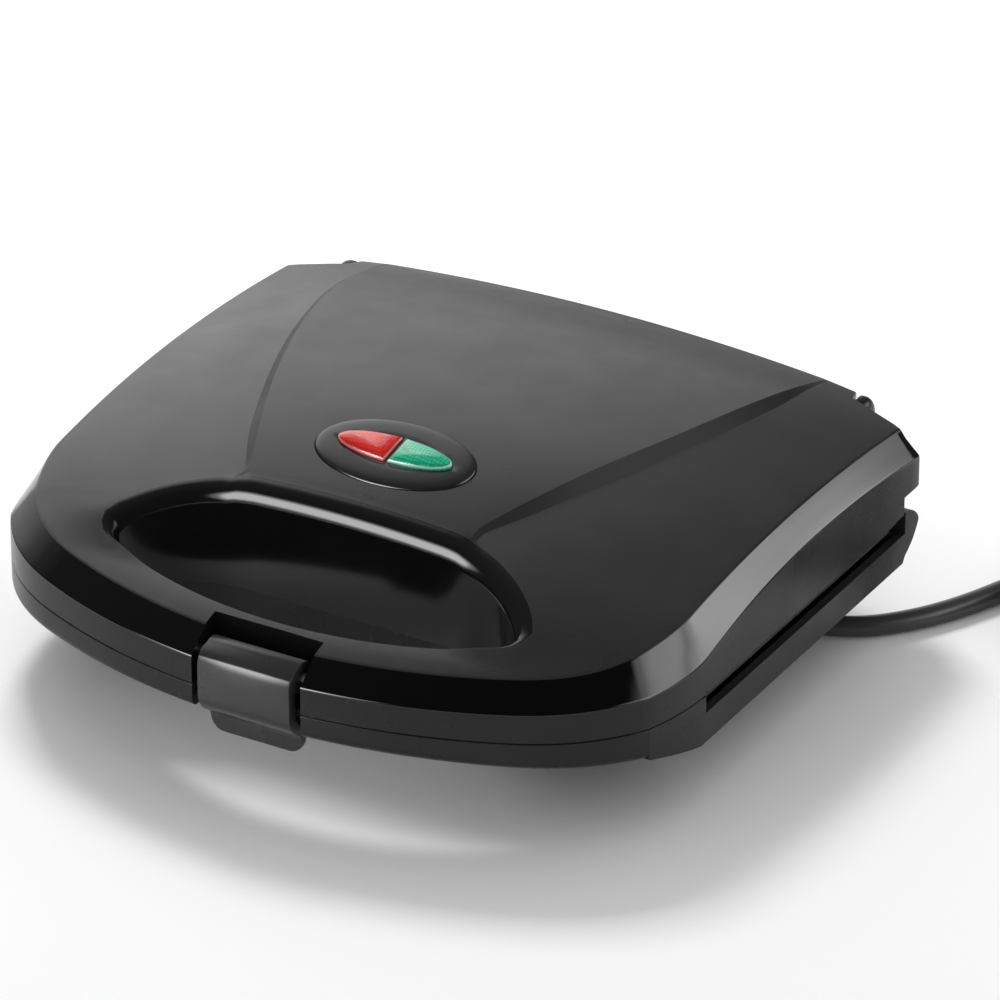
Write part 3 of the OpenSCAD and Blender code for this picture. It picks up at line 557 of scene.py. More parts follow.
# the plan of the rear from the corner to the middle, where the band ends and the wall stands upright
REAR_HALF, REAR_Y = 86.5, 104
REAR_TOP = [(104.9, 94.1), (103, 94.5), (101, 94.9)]
REAR_FOOT = [(112.8, 95), (108, 95.2), (103.5, 95.3)]
REAR = [(97, 95.6), (92.5, 96.9), (88.7, 98), (87.6, 101), (REAR_HALF, REAR_Y)]
REAR += [(x, REAR_Y + BOW * (1 - (x / REAR_HALF) ** 2)) for x in np.linspace(REAR_HALF - 2.5, 0, 29)]
top_loop = closed(TOP_EDGE + REAR_TOP + REAR)
foot_loop = closed([s[:2] for s in STATIONS] + REAR_FOOT + REAR)


def rounded_path(points, parts=3):
    """A smooth curve through the points."""
    p = np.array([points[0], *points, points[-1]], float)
    found = []
    for i in range(1, len(p) - 2):
        a, b, c, d = p[i - 1:i + 3]
        for t in np.arange(parts) / parts:
            found.append(0.5 * (2 * b + (c - a) * t + (2 * a - 5 * b + 4 * c - d) * t * t
                                + (3 * b - a - 3 * c + d) * t ** 3))
    found.append(p[-1])
    return np.array(found)


# ---- finger opening ----
OPEN_R, OPEN_Y = 140, -89
OPEN_REAR_Y, OPEN_REAR_R, OPEN_FLAT = -50, 45, 31
FLARE_CENTRE, FLARE_TIP, CRISP = 6.5, 5.8, 0.12  # reach of the soft edge, and its share along the front
OPEN_TIP = [
    (59.3, -75.75, -66, 0.15), (61.2, -74.8, -60, 0.2), (63.0, -73.8, -50, 0.28), (64.6, -72.5, -38, 0.42),
    (65.8, -71.0, -22, 0.62), (66.5, -69.4, -4, 0.82), (66.6, -67.6, 12, 1)]


def opening_loop():
    """The opening's outline: x, y, outward direction and share of the soft edge."""
    points = []
    for x in np.arange(0, 58, 3):
        a = math.asin(x / OPEN_R)
        points.append((x, OPEN_Y + OPEN_R * (1 - math.cos(a)), -90 + math.degrees(a), CRISP))
    points += OPEN_TIP
    points += [(*polar((OPEN_FLAT, OPEN_REAR_Y - OPEN_REAR_R), OPEN_REAR_R, a), a, 1)
               for a in np.arange(40, 90, 3.5)]
    points += [(x, OPEN_REAR_Y, 90, 1) for x in np.arange(30, -1, -3)]
    left = [(-p[0], p[1], 180 - p[2], p[3]) for p in points[-2:0:-1]]
    return points + left


def opening_rings(steps=9):
    """Rings of the soft edge, from the foot of the flare up to the rim."""
    rings = [[] for _ in range(steps)]
    for x, y, direction, share in opening_loop():
        f = share * (FLARE_TIP + (FLARE_CENTRE - FLARE_TIP) * float(smooth((56 - abs(x)) / 24)))
        z = float(top_height(*polar((x, y), f, direction)))
        for i in range(steps):
            a = math.pi / 2 * i / (steps - 1)
            rings[i].append((*polar((x, y), f * (1 - math.cos(a)), direction), z - f * (1 - math.sin(a))))
    return rings


# ---- lid ----
EDGE_ROUND, FOOT_ROUND, SEAM_CHAMFER = 0.7, 0.5, 0.4
REAR_WALL_Y, REAR_WALL_HALF = 94.2, 100  # behind and within these the outer wall has no band
TOP_SPACING = 3.0  # size of the triangles of the top
LID_TOP, LID_BAND, LID_SKIRT, LID_FLARE, LID_UNDER, LID_BEVEL = range(6)


def inside(points, loop):
    """Which points lie inside a closed loop."""
    x, y = points[:, 0], points[:, 1]
    found = np.zeros(len(points), bool)
    p = np.array(loop)
    for (x0, y0), (x1, y1) in zip(p, np.roll(p, -1, 0)):
        if y1 != y0:
            found ^= ((y0 > y) != (y1 > y)) & (x < (x1 - x0) * (y - y0) / (y1 - y0) + x0)
    return found


def distance_to(points, lines):
    """Distance from points to the nearest of some polylines."""
    best = np.full(len(points), 1e9)
    for line in lines:
        p = np.array(line)
        for a, b in zip(p[:-1], p[1:]):
            ab = b - a
            t = np.clip(((points - a) @ ab) / max(ab @ ab, 1e-12), 0, 1)
            best = np.minimum(best, np.hypot(*(points - a - t[:, None] * ab).T))
    return best


def sheet_between(outer, hole, lines=(), spacing=0):
    """Triangles between an outer loop and a hole, along given lines; the loops' points come first."""
    outer, hole = [tuple(p[:2]) for p in outer], [tuple(p[:2]) for p in hole]
    points = outer + hole
    n, m = len(outer), len(hole)
    edges = [(i, (i + 1) % n) for i in range(n)] + [(n + i, n + (i + 1) % m) for i in range(m)]
    for line in lines:
        start = len(points)
        points += [tuple(p) for p in line]
        edges += [(start + i, start + i + 1) for i in range(len(line) - 1)]
    if spacing:
        xs = np.arange(-HALF_W, HALF_W, spacing)
        ys = np.arange(-FRONT_Y, 108, spacing * 0.866)
        grid = np.array([(x + (spacing / 2 if i % 2 else 0), y) for i, y in enumerate(ys) for x in xs])
        grid = grid[inside(grid, outer) & ~inside(grid, hole)]
        borders = [outer + outer[:1], hole + hole[:1]]
        apart = (distance_to(grid, borders) > spacing * 0.55) & (distance_to(grid, lines) > spacing * 0.4)
        points += [tuple(p) for p in grid[apart]]
    result = delaunay_2d_cdt([Vector(p) for p in points], edges, [], 0, 1e-7)
    made = np.array([tuple(v) for v in result[0]])
    faces = np.array(result[2])
    middle = made[faces].mean(1)
    keep = inside(middle, outer) & ~inside(middle, hole)
    source = [ids[0] if ids else len(points) for ids in result[3]]
    return made, faces[keep], source


def crease_lines(rim):
    """The panel's outline and the foot of its bevel, on both sides, clear of the opening's rim."""
    lines = []
    ys = np.append(np.arange(PANEL_FRONT - 8, 101.5, 2.0), 102.8)
    for side in (-1, 1):
        for extra in (0, 1):
            line = np.array([(side * (panel_half(y) + extra * bevel_width(y)), y) for y in ys])
            clear = ~inside(line, rim) & (distance_to(line, [rim + rim[:1]]) > 1)
            lines.append([tuple(p) for p in line[clear]])
    return lines


def bezier(a, b, c, steps):
    """Points strictly between a and c on the curve that b draws."""
    return [(1 - t) ** 2 * a + 2 * t * (1 - t) * b + t * t * c for t in np.arange(1, steps) / steps]


def lifted(plan, z):
    """Plan points at a height, or each at its own."""
    return np.column_stack([plan, np.broadcast_to(z, len(plan))])


def lid_solid():
    """The lid before its cuts: top, rounded edge, band, skirt and the opening's flared walls."""
    top = np.array(top_loop)
    foot = np.array(foot_loop)
    edge = lifted(top, top_height(*top.T))
    banded = np.hypot(*(foot - top).T) > 0.5  # not where the wall stands upright, at the rear
    edge[banded, 2] = edge_z(top[banded, 1])
    inner = drawn_in(top_loop, EDGE_ROUND)
    inner = lifted(inner, top_height(*inner.T))
    low = lifted(foot, band_z(foot[:, 1]))
    down = unit(low - edge)
    after = edge + EDGE_ROUND * down
    before = low - FOOT_ROUND * down
    under = low - np.array([0, 0, FOOT_ROUND])
    wall_low = lifted(foot, SEAM + SEAM_CHAMFER)
    bottom = lifted(drawn_in(foot_loop, SEAM_CHAMFER), SEAM)
    rows = [inner] + bezier(inner, edge, after, 4) + [after]
    rows += [after + (before - after) * t for t in (1 / 3, 2 / 3)]
    rows += [before] + bezier(before, low, under, 3) + [under]
    rows += [under + (wall_low - under) * 0.5, wall_low, bottom]
    band_rows = len(rows) - 4
    points, faces, slots = [], [], []

    def add_belts(rings, slot_of):
        """Faces from ring to ring, with slot_of(belt, place); returns the number of the first point."""
        start, count = len(points), len(rings[0])
        for ring in rings:
            points.extend(tuple(p) for p in ring)
        for r in range(len(rings) - 1):
            for i in range(count):
                a, b = start + r * count + i, start + r * count + (i + 1) % count
                faces.append((a, a + count, b + count, b))
                slots.append(slot_of(r, i))
        return start

    def outer_slot(r, i):
        at_rear = top[i][1] > REAR_WALL_Y and abs(foot[i][0]) < REAR_WALL_HALF
        return LID_TOP if r < 3 else LID_BAND if r < band_rows and not at_rear else LID_SKIRT

    add_belts(rows, outer_slot)
    rings = opening_rings()
    wall = [[(x, y, z) for (x, y, _) in rings[0]] for z in (SEAM, SEAM + 6)]
    start = add_belts(wall + rings, lambda r, i: LID_FLARE)
    rim_start = len(points) - len(rings[-1])

    def add_sheet(slot, outer_start, outer, hole_start, hole, lines=(), spacing=0):
        """Triangles from the outer wall to the opening's, as the top or as the underside."""
        made, triangles, source = sheet_between(outer, hole, lines, spacing)
        index = []
        for point, origin in zip(made, source):
            if origin < len(outer):
                index.append(outer_start + origin)
            elif origin < len(outer) + len(hole):
                index.append(hole_start + origin - len(outer))
            else:
                index.append(len(points))
                points.append((*point, float(top_height(*point))))
        for t in triangles:
            faces.append(tuple(index[k] for k in (t[::-1] if slot == LID_UNDER else t)))
            # faces on the panel's bevel take the darker bevel material, painted shade of the crease
            on_bevel = slot == LID_TOP and region_of(*made[t].mean(0)) == 1
            slots.append(LID_BEVEL if on_bevel else slot)

    creases = crease_lines([p[:2] for p in rings[-1]])
    add_sheet(LID_TOP, 0, inner, rim_start, rings[-1], creases, TOP_SPACING)
    add_sheet(LID_UNDER, start - len(bottom), bottom, start, wall[0])
    return mesh_object("lid_cover", points, faces, slots)


NEAR = 0.05  # tolerance and step for the drawn surface


def set_top_normals(obj):
    """True normals of the drawn surface on the lid's top, so that its gloss runs without waves."""
    mesh = obj.data
    start, count, slot = (read(mesh.polygons, name)
                          for name in ("loop_start", "loop_total", "material_index"))
    p = read(mesh.vertices, "co", 3, float).reshape(-1, 3)[read(mesh.loops, "vertex_index")] / MM
    owner = np.repeat(np.arange(len(start)), count)
    middle = np.add.reduceat(p, start) / count[:, None]
    region = region_of(middle[:, 0], middle[:, 1])[owner]
    x, y = p[:, 0], p[:, 1]
    off = np.maximum.reduceat(np.abs(p[:, 2] - region_height(x, y, region)), start)
    drawn = (np.isin(slot, (LID_TOP, LID_BEVEL)) & (off < NEAR))[owner]
    dx = (region_height(x + NEAR, y, region) - region_height(x - NEAR, y, region)) / (2 * NEAR)
    dy = (region_height(x, y + NEAR, region) - region_height(x, y - NEAR, region)) / (2 * NEAR)
    normals = unit(np.stack([-dx, -dy, np.ones(len(p))], 1))
    rim = np.array([q[:2] for q in opening_rings()[-1]])
    for border in (rim, drawn_in(top_loop, EDGE_ROUND)):
        gap = np.hypot(x[:, None] - border[:, 0], y[:, None] - border[:, 1]).min(1)
        drawn &= gap > NEAR
    kept = read(mesh.corner_normals, "vector", 3, float).reshape(-1, 3)
    mesh.normals_split_custom_set(np.where(drawn[:, None], normals, kept).tolist())


BEZEL_A, BEZEL_B, BEZEL_T = 26, 14.8, 3
bezel_frame = frame_at((0, -21.3, 77.7), 11, "X")
BEZEL_PLAY, BEZEL_LEDGE = 0.3, 3.3  # the bezel's play in its seat, and the ledge that carries it
HINGE = (100.5, 57)
KNUCKLE_IN, KNUCKLE_OUT, KNUCKLE_R, KNUCKLE_PLAY = 88.9, 92.8, 6.5, 0.5
BARREL_X, BARREL_Y, BARREL_Z = (80, 86), (94.5, 103), (51, 62)
LIP_X, LIP_Y, LIP_Z = (109.8, 111.6), (-34, 84), (34.8, 38)
SKIRT_LOW, REAR_SKIRT_LOW, REAR_SKIRT_Y = 37, 42.8, 85.5
SLOT_HALF, SLOT_REAR, SLOT_ROUND = 18.3, -92, 0.55
HOLLOW_HALF, CEILING_HALF, LID_WALL = 109.8, 103, 3.4
OUTSIDE = 120  # a reach past the whole housing, for the cutters


def lid_hollow():
    """The hollow under the lid, whose ceiling follows the top."""
    ys = np.array([-35, -26, -15, 0, 15, 30, 45, 60, 72, 88.0])
    xs = np.array([-1, -0.85, -0.7, -0.5, -0.25, 0, 0.25, 0.5, 0.7, 0.85, 1])
    rows, cols = len(ys), len(xs)
    k = rows * cols
    low = [(x * HOLLOW_HALF, y, 20) for y in ys for x in xs]
    ceiling = [(x, y, float(side_height(x, y)) - LID_WALL) for y in ys for x in xs * CEILING_HALF]
    number = np.arange(k).reshape(rows, cols)
    border = [int(b) for b in (*number[0, :-1], *number[:-1, -1], *number[-1, :0:-1], *number[:0:-1, 0])]
    points = low + ceiling + [(low[b][0], low[b][1], float(band_z(low[b][1])) - 2) for b in border]
    faces = []
    for i in range(rows - 1):
        for j in range(cols - 1):
            a = i * cols + j
            faces.append((k + a, k + a + 1, k + a + cols + 1, k + a + cols))
            faces.append((a, a + cols, a + cols + 1, a + 1))
    for i, (a, b) in enumerate(zip(border, border[1:] + border[:1])):
        c, d = 2 * k + i, 2 * k + (i + 1) % len(border)
        faces += [(a, b, d, c), (c, d, k + b, k + a)]
    return mesh_object("hollow", points, faces)


def round_slot(obj):
    """Soften the edges at both sides of the latch's slot and behind it."""
    focus(obj)
    bpy.ops.object.mode_set(mode="EDIT")
    bpy.ops.mesh.select_all(action="DESELECT")
    mesh = bmesh.from_edit_mesh(obj.data)
    for edge in mesh.edges:
        a, b = (v.co / MM for v in edge.verts)
        on_side = all(abs(abs(p.x) - SLOT_HALF) < 0.01 for p in (a, b)) and a.x * b.x > 0
        behind = all(abs(p.y - SLOT_REAR) < 0.01 and abs(p.x) < SLOT_HALF + 0.01 for p in (a, b))
        if (on_side or behind) and max(a.z, b.z) > SEAM + 1.5:
            edge.select = edge.calc_face_angle(0) > math.radians(35)
    bmesh.update_edit_mesh(obj.data)
    bpy.ops.mesh.bevel(offset=SLOT_ROUND * MM, segments=3, affect="EDGES", clamp_overlap=True)
    bpy.ops.object.mode_set(mode="OBJECT")


def mirrored_block(name, side, xs, ys, zs):
    """Block whose place across is given for the right side."""
    low, high = sorted(side * x for x in xs)
    return block(name, (low, ys[0], zs[0]), (high, ys[1], zs[1]))


def oval(name, grow, low, high):
    """Upright oval cylinder in the bezel's own frame, larger than the bezel by a distance."""
    solid = prism(name, circle_points((0, 0), 1, 96), low, high)
    return move_mesh(solid, bezel_frame @ Matrix.Diagonal((BEZEL_A + grow, BEZEL_B + grow, 1, 1)))


def make_lid():
    lid = lid_solid()
    cut(lid, lid_hollow())
    # the slot's cut faces take the opening's darker material, painted shade of the recess
    cut(lid, block("slot", (-SLOT_HALF, -OUTSIDE, 30), (SLOT_HALF, SLOT_REAR, 70)), slot=LID_FLARE)
    cut(lid, block("skirt_cut", (-OUTSIDE, -37, 20), (OUTSIDE, OUTSIDE, SKIRT_LOW)), slot=LID_SKIRT)
    cut(lid, block("rear_cut", (-OUTSIDE, REAR_SKIRT_Y, 20), (OUTSIDE, OUTSIDE, REAR_SKIRT_LOW)),
        slot=LID_SKIRT)
    y, z = HINGE
    reach = KNUCKLE_R + KNUCKLE_PLAY
    relief = circle_points(HINGE, reach, 40, 0, 180)
    relief += [(y - reach, z), (y - reach, 30), (y + 20, 30), (y + 20, z)]
    for side in (-1, 1):
        cut(lid, mirrored_block("lip", side, LIP_X, LIP_Y, LIP_Z), "UNION", LID_SKIRT)
        low, high = sorted((side * (KNUCKLE_IN - KNUCKLE_PLAY), side * (KNUCKLE_OUT + 0.4)))
        cut(lid, prism("knuckle_relief", relief, low, high, "x"), slot=LID_SKIRT)
        cut(lid, mirrored_block("barrel_seat", side, BARREL_X, BARREL_Y, BARREL_Z), slot=LID_UNDER)
    # the seat's cut faces take the opening's darker material, painted shade of the recess
    cut(lid, oval("seat", BEZEL_PLAY, -BEZEL_T - 0.2, 10), slot=LID_FLARE)
    cut(lid, oval("well", -BEZEL_LEDGE, -16, 10), slot=LID_UNDER)
    round_slot(lid)
    smooth_by_angle(lid, 30, weighted=True)
    set_top_normals(lid)
    finish_piece(lid, "lid_cover", "lid",
                 [TOP, BAND, SKIRT, FLARE, INNER, BEVEL], "lid_shell")


make_lid()

# ---- cord ----
CORD_D = 6.5
ROUTE = [
    (80, 62.4, 6.6), (84, 62.6, 5.8), (88, 63.2, 5.1), (92, 64.4, 4.5), (96, 66.2, 4), (100, 68.4, 3.6),
    (104.5, 71.3, 3.4), (109, 74.7, 3.3), (114.3, 80, 3.3), (119.8, 87, 3.3), (124.7, 95, 3.3),
    (128.9, 103.6, 3.3), (132.4, 112.2, 3.3), (136, 121.5, 3.3), (139.8, 131.1, 3.3), (143.6, 140.7, 3.3)]
COIL = (180, 126)
COIL_START, TURNS, COIL_STEP = 158, 3, 5  # degrees, whole turns, degrees from point to point
OUTER_TURN, INNER_TURN = 39.25, 32.75
LOW_TURN, HIGH_TURN = 3.3, 9.8
TAIL = [(219.25, 117, 9.8), (219.25, 108, 9.8), (219.25, 98, 9.8)]


def coil_points():
    """Turns from the route's end: outer and inner ones below, then inner and outer ones on them."""
    found = []
    for travelled in np.arange(COIL_STEP, COIL_START + TURNS * 360 + 0.1, COIL_STEP):
        inward = smooth((travelled - 318) / 38) - smooth((travelled - 948) / 44)  # by the degrees travelled
        upward = smooth((travelled - 636) / 42)
        radius = OUTER_TURN + (INNER_TURN - OUTER_TURN) * inward
        found.append((*polar(COIL, radius, COIL_START - travelled),
                      LOW_TURN + (HIGH_TURN - LOW_TURN) * upward))
    return found


def make_cord():
    """The cord's curve, and its length in metres."""
    path = rounded_path(ROUTE + coil_points() + TAIL) * MM
    data = bpy.data.curves.new("mains_flex", "CURVE")
    data.dimensions = "3D"
    data.bevel_depth = CORD_D / 2 * MM
    data.bevel_resolution = 6
    data.use_fill_caps = True
    spline = data.splines.new("POLY")
    spline.points.add(len(path) - 1)
    for point, place in zip(spline.points, path):
        point.co = (*place, 1)
    spline.use_smooth = True
    flex = added("mains_flex", data)
    data.materials.append(FLEX)
    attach(flex, "base")
    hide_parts("power_cord", "cord_coil")
    return flex, float(np.sum(np.linalg.norm(np.diff(path, axis=0), axis=1)))


flex, flex_length = make_cord()

# ---- base ----
HANDLE_LOW, HANDLE_RISE = 24.6, 0.055  # the handle's underside at its rear, and its rise forwards
HANDLE_ROUND = 2.6
BASE_RIM, WALL_LOW, BELLY_LOW, BASE_FRONT, BASE_REAR = 30.2, 19.5, 5, -38, 95
BELLY_FRONT, BELLY_REAR, BELLY_HALF = -21, 78, HALF_W - 21
BASE_WALL, BASE_FLOOR = 2.6, 7.6  # the walls' thickness, and the floor's inner face
EAR = (86.4, 37.4)  # the top of the rear wall's inner face
POCKET_X, POCKET_Y, POCKET_HALF, POCKET_TOP = 58, 62.4, 9, 18
CORD_HOLE_R = 4.2
SCREW_X, SCREW_Y, BOSS_R = 52, (-29.5, 78.5), 4
RIM_LOW = 31  # underside of the lower plate's rim
RELIEF_DIP = 11.3  # degrees by which the cord points down where it leaves
relief_frame = frame_at(ROUTE[0], 90 + RELIEF_DIP, "Y")


def handle_ring(inset_by, lift, level=None):
    """The handle's outline drawn in by a distance, on its sloping underside or on a level."""
    right = [s[:2] for s in STATIONS if s[1] < BASE_FRONT + 2]
    loop = closed(right + [(0, right[-1][1])])
    return [(x, y, HANDLE_LOW + HANDLE_RISE * (BASE_FRONT - y) + lift if level is None else level)
            for x, y in drawn_in(loop, inset_by)]


def handle_solid():
    """The handle's lower half, rounded underneath and chamfered at the seam."""
    arcs = [math.radians(a) for a in range(0, 91, 15)]
    rings = [handle_ring(HANDLE_ROUND * (1 - math.sin(a)), HANDLE_ROUND * (1 - math.cos(a))) for a in arcs]
    rings += [handle_ring(0, 0, SEAM - 0.5), handle_ring(0.12, 0, SEAM - 0.15), handle_ring(0.45, 0, SEAM)]
    return stacked("handle", rings)


def cross_section(low, high, wall):
    """The base seen from the front as (height, place across), drawn in by a wall."""
    right = [(low, BELLY_HALF - wall / 2), (WALL_LOW - 0.6, HALF_W - 1.5 - wall),
             (WALL_LOW + 1, HALF_W - wall), (high, HALF_W - wall)]
    return [(z, -x) for z, x in right[:1]] + right + [(z, -x) for z, x in right[:0:-1]]


def body_solid():
    """The base's body: its side view cut to its front view and its plan."""
    rear = rounded_path([
        (BELLY_REAR, BELLY_LOW), (85.4, 20.6), (88.5, 23.6), (91.5, 26), (93.8, 29), (BASE_REAR, 31),
        (BASE_REAR - 0.4, 32.7), (93, 34.6), (90.4, 36.4), EAR])[3:]
    side = [(-62, HANDLE_LOW + 1.3), (-36, WALL_LOW), (BELLY_FRONT, BELLY_LOW), (BELLY_REAR, BELLY_LOW)]
    side += [tuple(p) for p in rear]
    side += [(EAR[0], BASE_RIM), (BASE_FRONT + 1, BASE_RIM), (BASE_FRONT + 1, SEAM - 0.3), (-62, SEAM - 0.3)]
    body = prism("body", side, -HALF_W - 1, HALF_W + 1, "x")
    cut(body, prism("front_view", cross_section(BELLY_LOW, 60, 0), -OUTSIDE, OUTSIDE, "y"), "INTERSECT")
    plan = closed([s[:2] for s in STATIONS if s[1] < -30] + [(HALF_W, 110), (0, 110)])
    cut(body, prism("plan", plan, -1, 70), "INTERSECT")
    return body


def knuckle_solid():
    """Hinge post whose round head is domed on its outer side."""
    y, z = HINGE
    foot = [(EAR[0], 25), (94.4, 30), (99, 36), (y + KNUCKLE_R, 50), (y + KNUCKLE_R, z), (y - KNUCKLE_R, z),
            (y - KNUCKLE_R, 42), (91, 37), (EAR[0], 36)]
    post = prism("post", foot, KNUCKLE_IN, KNUCKLE_OUT - 1.2, "x")
    soften(post, 0.5)
    head = turned("head", [(KNUCKLE_R, 0), (KNUCKLE_R, 0.9), (6.35, 1.7), (6.0, 2.4), (5.4, 3), (4.5, 3.5),
                           (3.2, 3.8), (1.6, 3.95)], 64)
    move_mesh(head, frame_at((KNUCKLE_IN, y, z), 90, "Y"))
    cut(post, head, "UNION")
    return post


def base_cavity():
    """The hollow of the base round its screw bosses and the box for the cord."""
    front = BASE_FRONT + BASE_WALL
    rear = EAR[0] - BASE_WALL
    side = [(front, 20.5), (BELLY_FRONT + 1, BASE_FLOOR), (BELLY_REAR - 2, BASE_FLOOR),
            (rear, 21), (rear, 60), (front, 60)]
    cavity = prism("cavity", side, -HALF_W, HALF_W, "x")
    across = cross_section(BASE_FLOOR, 61, BASE_WALL)
    cut(cavity, prism("across", across, -OUTSIDE, OUTSIDE, "y"), "INTERSECT")
    for x in (-SCREW_X, SCREW_X):
        for y in SCREW_Y:
            cut(cavity, prism("boss", circle_points((x, y), BOSS_R, 32), 0, RIM_LOW - 0.2))
    cut(cavity, block("cord_box", (POCKET_X - BASE_WALL, POCKET_Y - POCKET_HALF - BASE_WALL, 0),
                      (HALF_W, POCKET_Y + POCKET_HALF + BASE_WALL, POCKET_TOP + BASE_WALL)))
    return cavity


CLIP_RECESS = [
    (-OUTSIDE, 20), (-94, 20), (-94, 29.4), (-99.6, 29.4), (-102.6, 33.6), (-102.6, 70), (-OUTSIDE, 70)]


def make_base():
    base = body_solid()
    cut(base, handle_solid(), "UNION")
    cut(base, base_cavity())
    cut(base, block("cord_pocket", (POCKET_X, POCKET_Y - POCKET_HALF, 0),
                    (HALF_W + 1, POCKET_Y + POCKET_HALF, POCKET_TOP)))
    cord_hole = prism("cord_hole", circle_points((0, 0), CORD_HOLE_R, 32), -34, -14)
    cut(base, move_mesh(cord_hole, relief_frame))
    cut(base, prism("fingers", [p[:2] for p in opening_loop()], 0, 80))
    cut(base, prism("clip_recess", CLIP_RECESS, -SLOT_HALF, SLOT_HALF, "x"))
    for side in (-1, 1):
        post = knuckle_solid()
        if side < 0:
            move_mesh(post, Matrix.Diagonal((-1, 1, 1, 1)))
        cut(base, post, "UNION")
    soften(base, 0.45, 35)
    smooth_by_angle(base, 30, weighted=True)
    finish_piece(base, "base_cover", "base", [SKIRT], "base_shell")


make_base()

SLEEVE_RINGS = 6


def make_strain_relief():
    """Tapered sleeve with grooves, from the housing's wall to the cord; (radius, height) points."""
    profile = [(4.2, -26), (4.2, -20.9), (5.4, -20.9), (5.4, -18.6)]
    for i in range(SLEEVE_RINGS):
        h, r = -17.6 + i * 2.8, 5.1 - i * 0.19
        profile += [(r, h), (r, h + 1.5), (r - 0.7, h + 1.8), (r - 0.7, h + 2.5)]
    profile += [(4.1, -0.6), (3.7, 0)]
    sleeve = move_mesh(turned("cord_sleeve", profile), relief_frame)
    smooth_by_angle(sleeve, 40)
    finish_piece(sleeve, "cord_sleeve", "base", [FLEX], "cord_strain_relief")


make_strain_relief()

# ---- lamps ----
LENS_TIP, LENS_HALF, LENS_GAP = 19.2, 5.7, 0.6  # reach of a lens from the middle, half width, and start
LENS_MIDDLE, LENS_BLUNT, LENS_PLAY = 8.2, 0.53, 0.25
LENS_LAYERS = [(1, -7), (1, 0.5), (0.985, 0.85), (0.95, 1.15), (0.88, 1.5), (0.76, 1.9), (0.6, 2.2),
               (0.4, 2.4), (0.2, 2.5)]  # share of the outline, and height
BEZEL_SKIRT = [(3.5, -7), (3.5, -BEZEL_T), (0, -BEZEL_T), (0, -1.5)]  # distance inwards, and height
DOME_LAYERS = [(0.004, -1.15), (0.016, -0.85), (0.04, -0.6), (0.08, -0.4), (0.15, -0.2), (0.26, -0.02),
               (0.4, 0.1), (0.6, 0.2), (0.8, 0.25)]  # share of the way to the middle, and height


def lens_outline(side, grow):
    """Half of an oval with blunt tips, anticlockwise; side is -1 for the left half."""
    tip, half, start = LENS_TIP + grow, LENS_HALF + grow, LENS_GAP - grow
    xs = start + (tip - start) * np.sin(np.linspace(0, math.pi / 2, 25))
    ys = np.maximum(half * np.maximum(1 - (xs / tip) ** 2, 0) ** LENS_BLUNT, 0.02)
    right = [(x, -y) for x, y in zip(xs, ys)] + [(x, y) for x, y in zip(xs[::-1], ys[::-1])]
    return right if side > 0 else [(-x, y) for x, y in right[::-1]]


def make_bezel():
    def ring(a, b, z):
        return [((BEZEL_A - a) * x, (BEZEL_B - b) * y, z) for x, y in circle_points((0, 0), 1, 96)]

    rings = [ring(d, d, z) for d, z in BEZEL_SKIRT]
    rings += [ring(BEZEL_A * k, BEZEL_B * k, z) for k, z in DOME_LAYERS]
    dome = stacked("lamp_bezel", rings)
    for side in (-1, 1):
        cut(dome, prism("window", lens_outline(side, LENS_PLAY), -20, 5))
    soften(dome, 0.25, 40)
    move_mesh(dome, bezel_frame)
    smooth_by_angle(dome, 32)
    finish_piece(dome, "lamp_bezel", "lid", [BEZEL], "indicator_bezel")


def make_lens(side, name, node, material, highlight_material):
    """Domed lens whose belts just under the rim are paler: a painted highlight of the rim's edge."""
    outline = np.array(lens_outline(side, 0))
    middle = np.array([side * LENS_MIDDLE, 0])
    rings = [[(*(middle + k * (p - middle)), z) for p in outline] for k, z in LENS_LAYERS]
    # the two belts just under the rim take the paler colour, a painted highlight
    lens = stacked(name, rings, [0, 1, 1, 0, 0, 0, 0, 0])
    move_mesh(lens, bezel_frame)
    smooth_by_angle(lens, 50)
    finish_piece(lens, name, "lid", [material, highlight_material], node)


make_bezel()
make_lens(-1, "red_jewel", "red_lens", RED, RED_RIM_HIGHLIGHT)
make_lens(1, "green_jewel", "green_lens", GREEN, GREEN_RIM_HIGHLIGHT)

# ---- pieces kept from the frame's shapes, with rounded edges ----
REFINED = [
    ("latch_clip", "clip", "latch", "latch_plastic", LATCH, 0.9),
    ("rubber_feet", "feet", "base", "foot_rubber", RUBBER, 0.7),
    ("hinge_barrels", "barrels", "lid", "housing_plastic", INNER, 0.5),
    ("plug_body", "plug_moulding", "base", "cord_rubber", FLEX, 1.2),
    ("cord_tie", "tie", "base", "tie_plastic", TIE, 0.3),
    ("plug_pins", "pins", "base", "plug_brass", BRASS, 0.4)]
for piece in REFINED:
    refined(*piece)

# nodes whose shape stays, by finish
PLAIN = [
    (NONSTICK, ["lower_cooking_plate", "upper_cooking_plate"]),
    (ZINC, ["hinge_pins", "latch_pin", "lower_plate_screws", "upper_plate_screws", "thermal_fuse"]),
    (TINNED, ["lower_reflector", "upper_reflector"]),
    (ELEMENT, ["lower_heating_element", "upper_heating_element"]),
    (NYLON, ["terminal_block", "lamp_holder"]),
    (WIRE, ["base_wiring", "lid_wiring"]),
    (CERAMIC, ["thermostat"]),
    (GLASS, ["neon_lamps"])]
for material, names in PLAIN:
    for node in names:
        nodes[node].data.materials.clear()
        nodes[node].data.materials.append(material)

# ---- studio ----
AMBIENT = 0.68
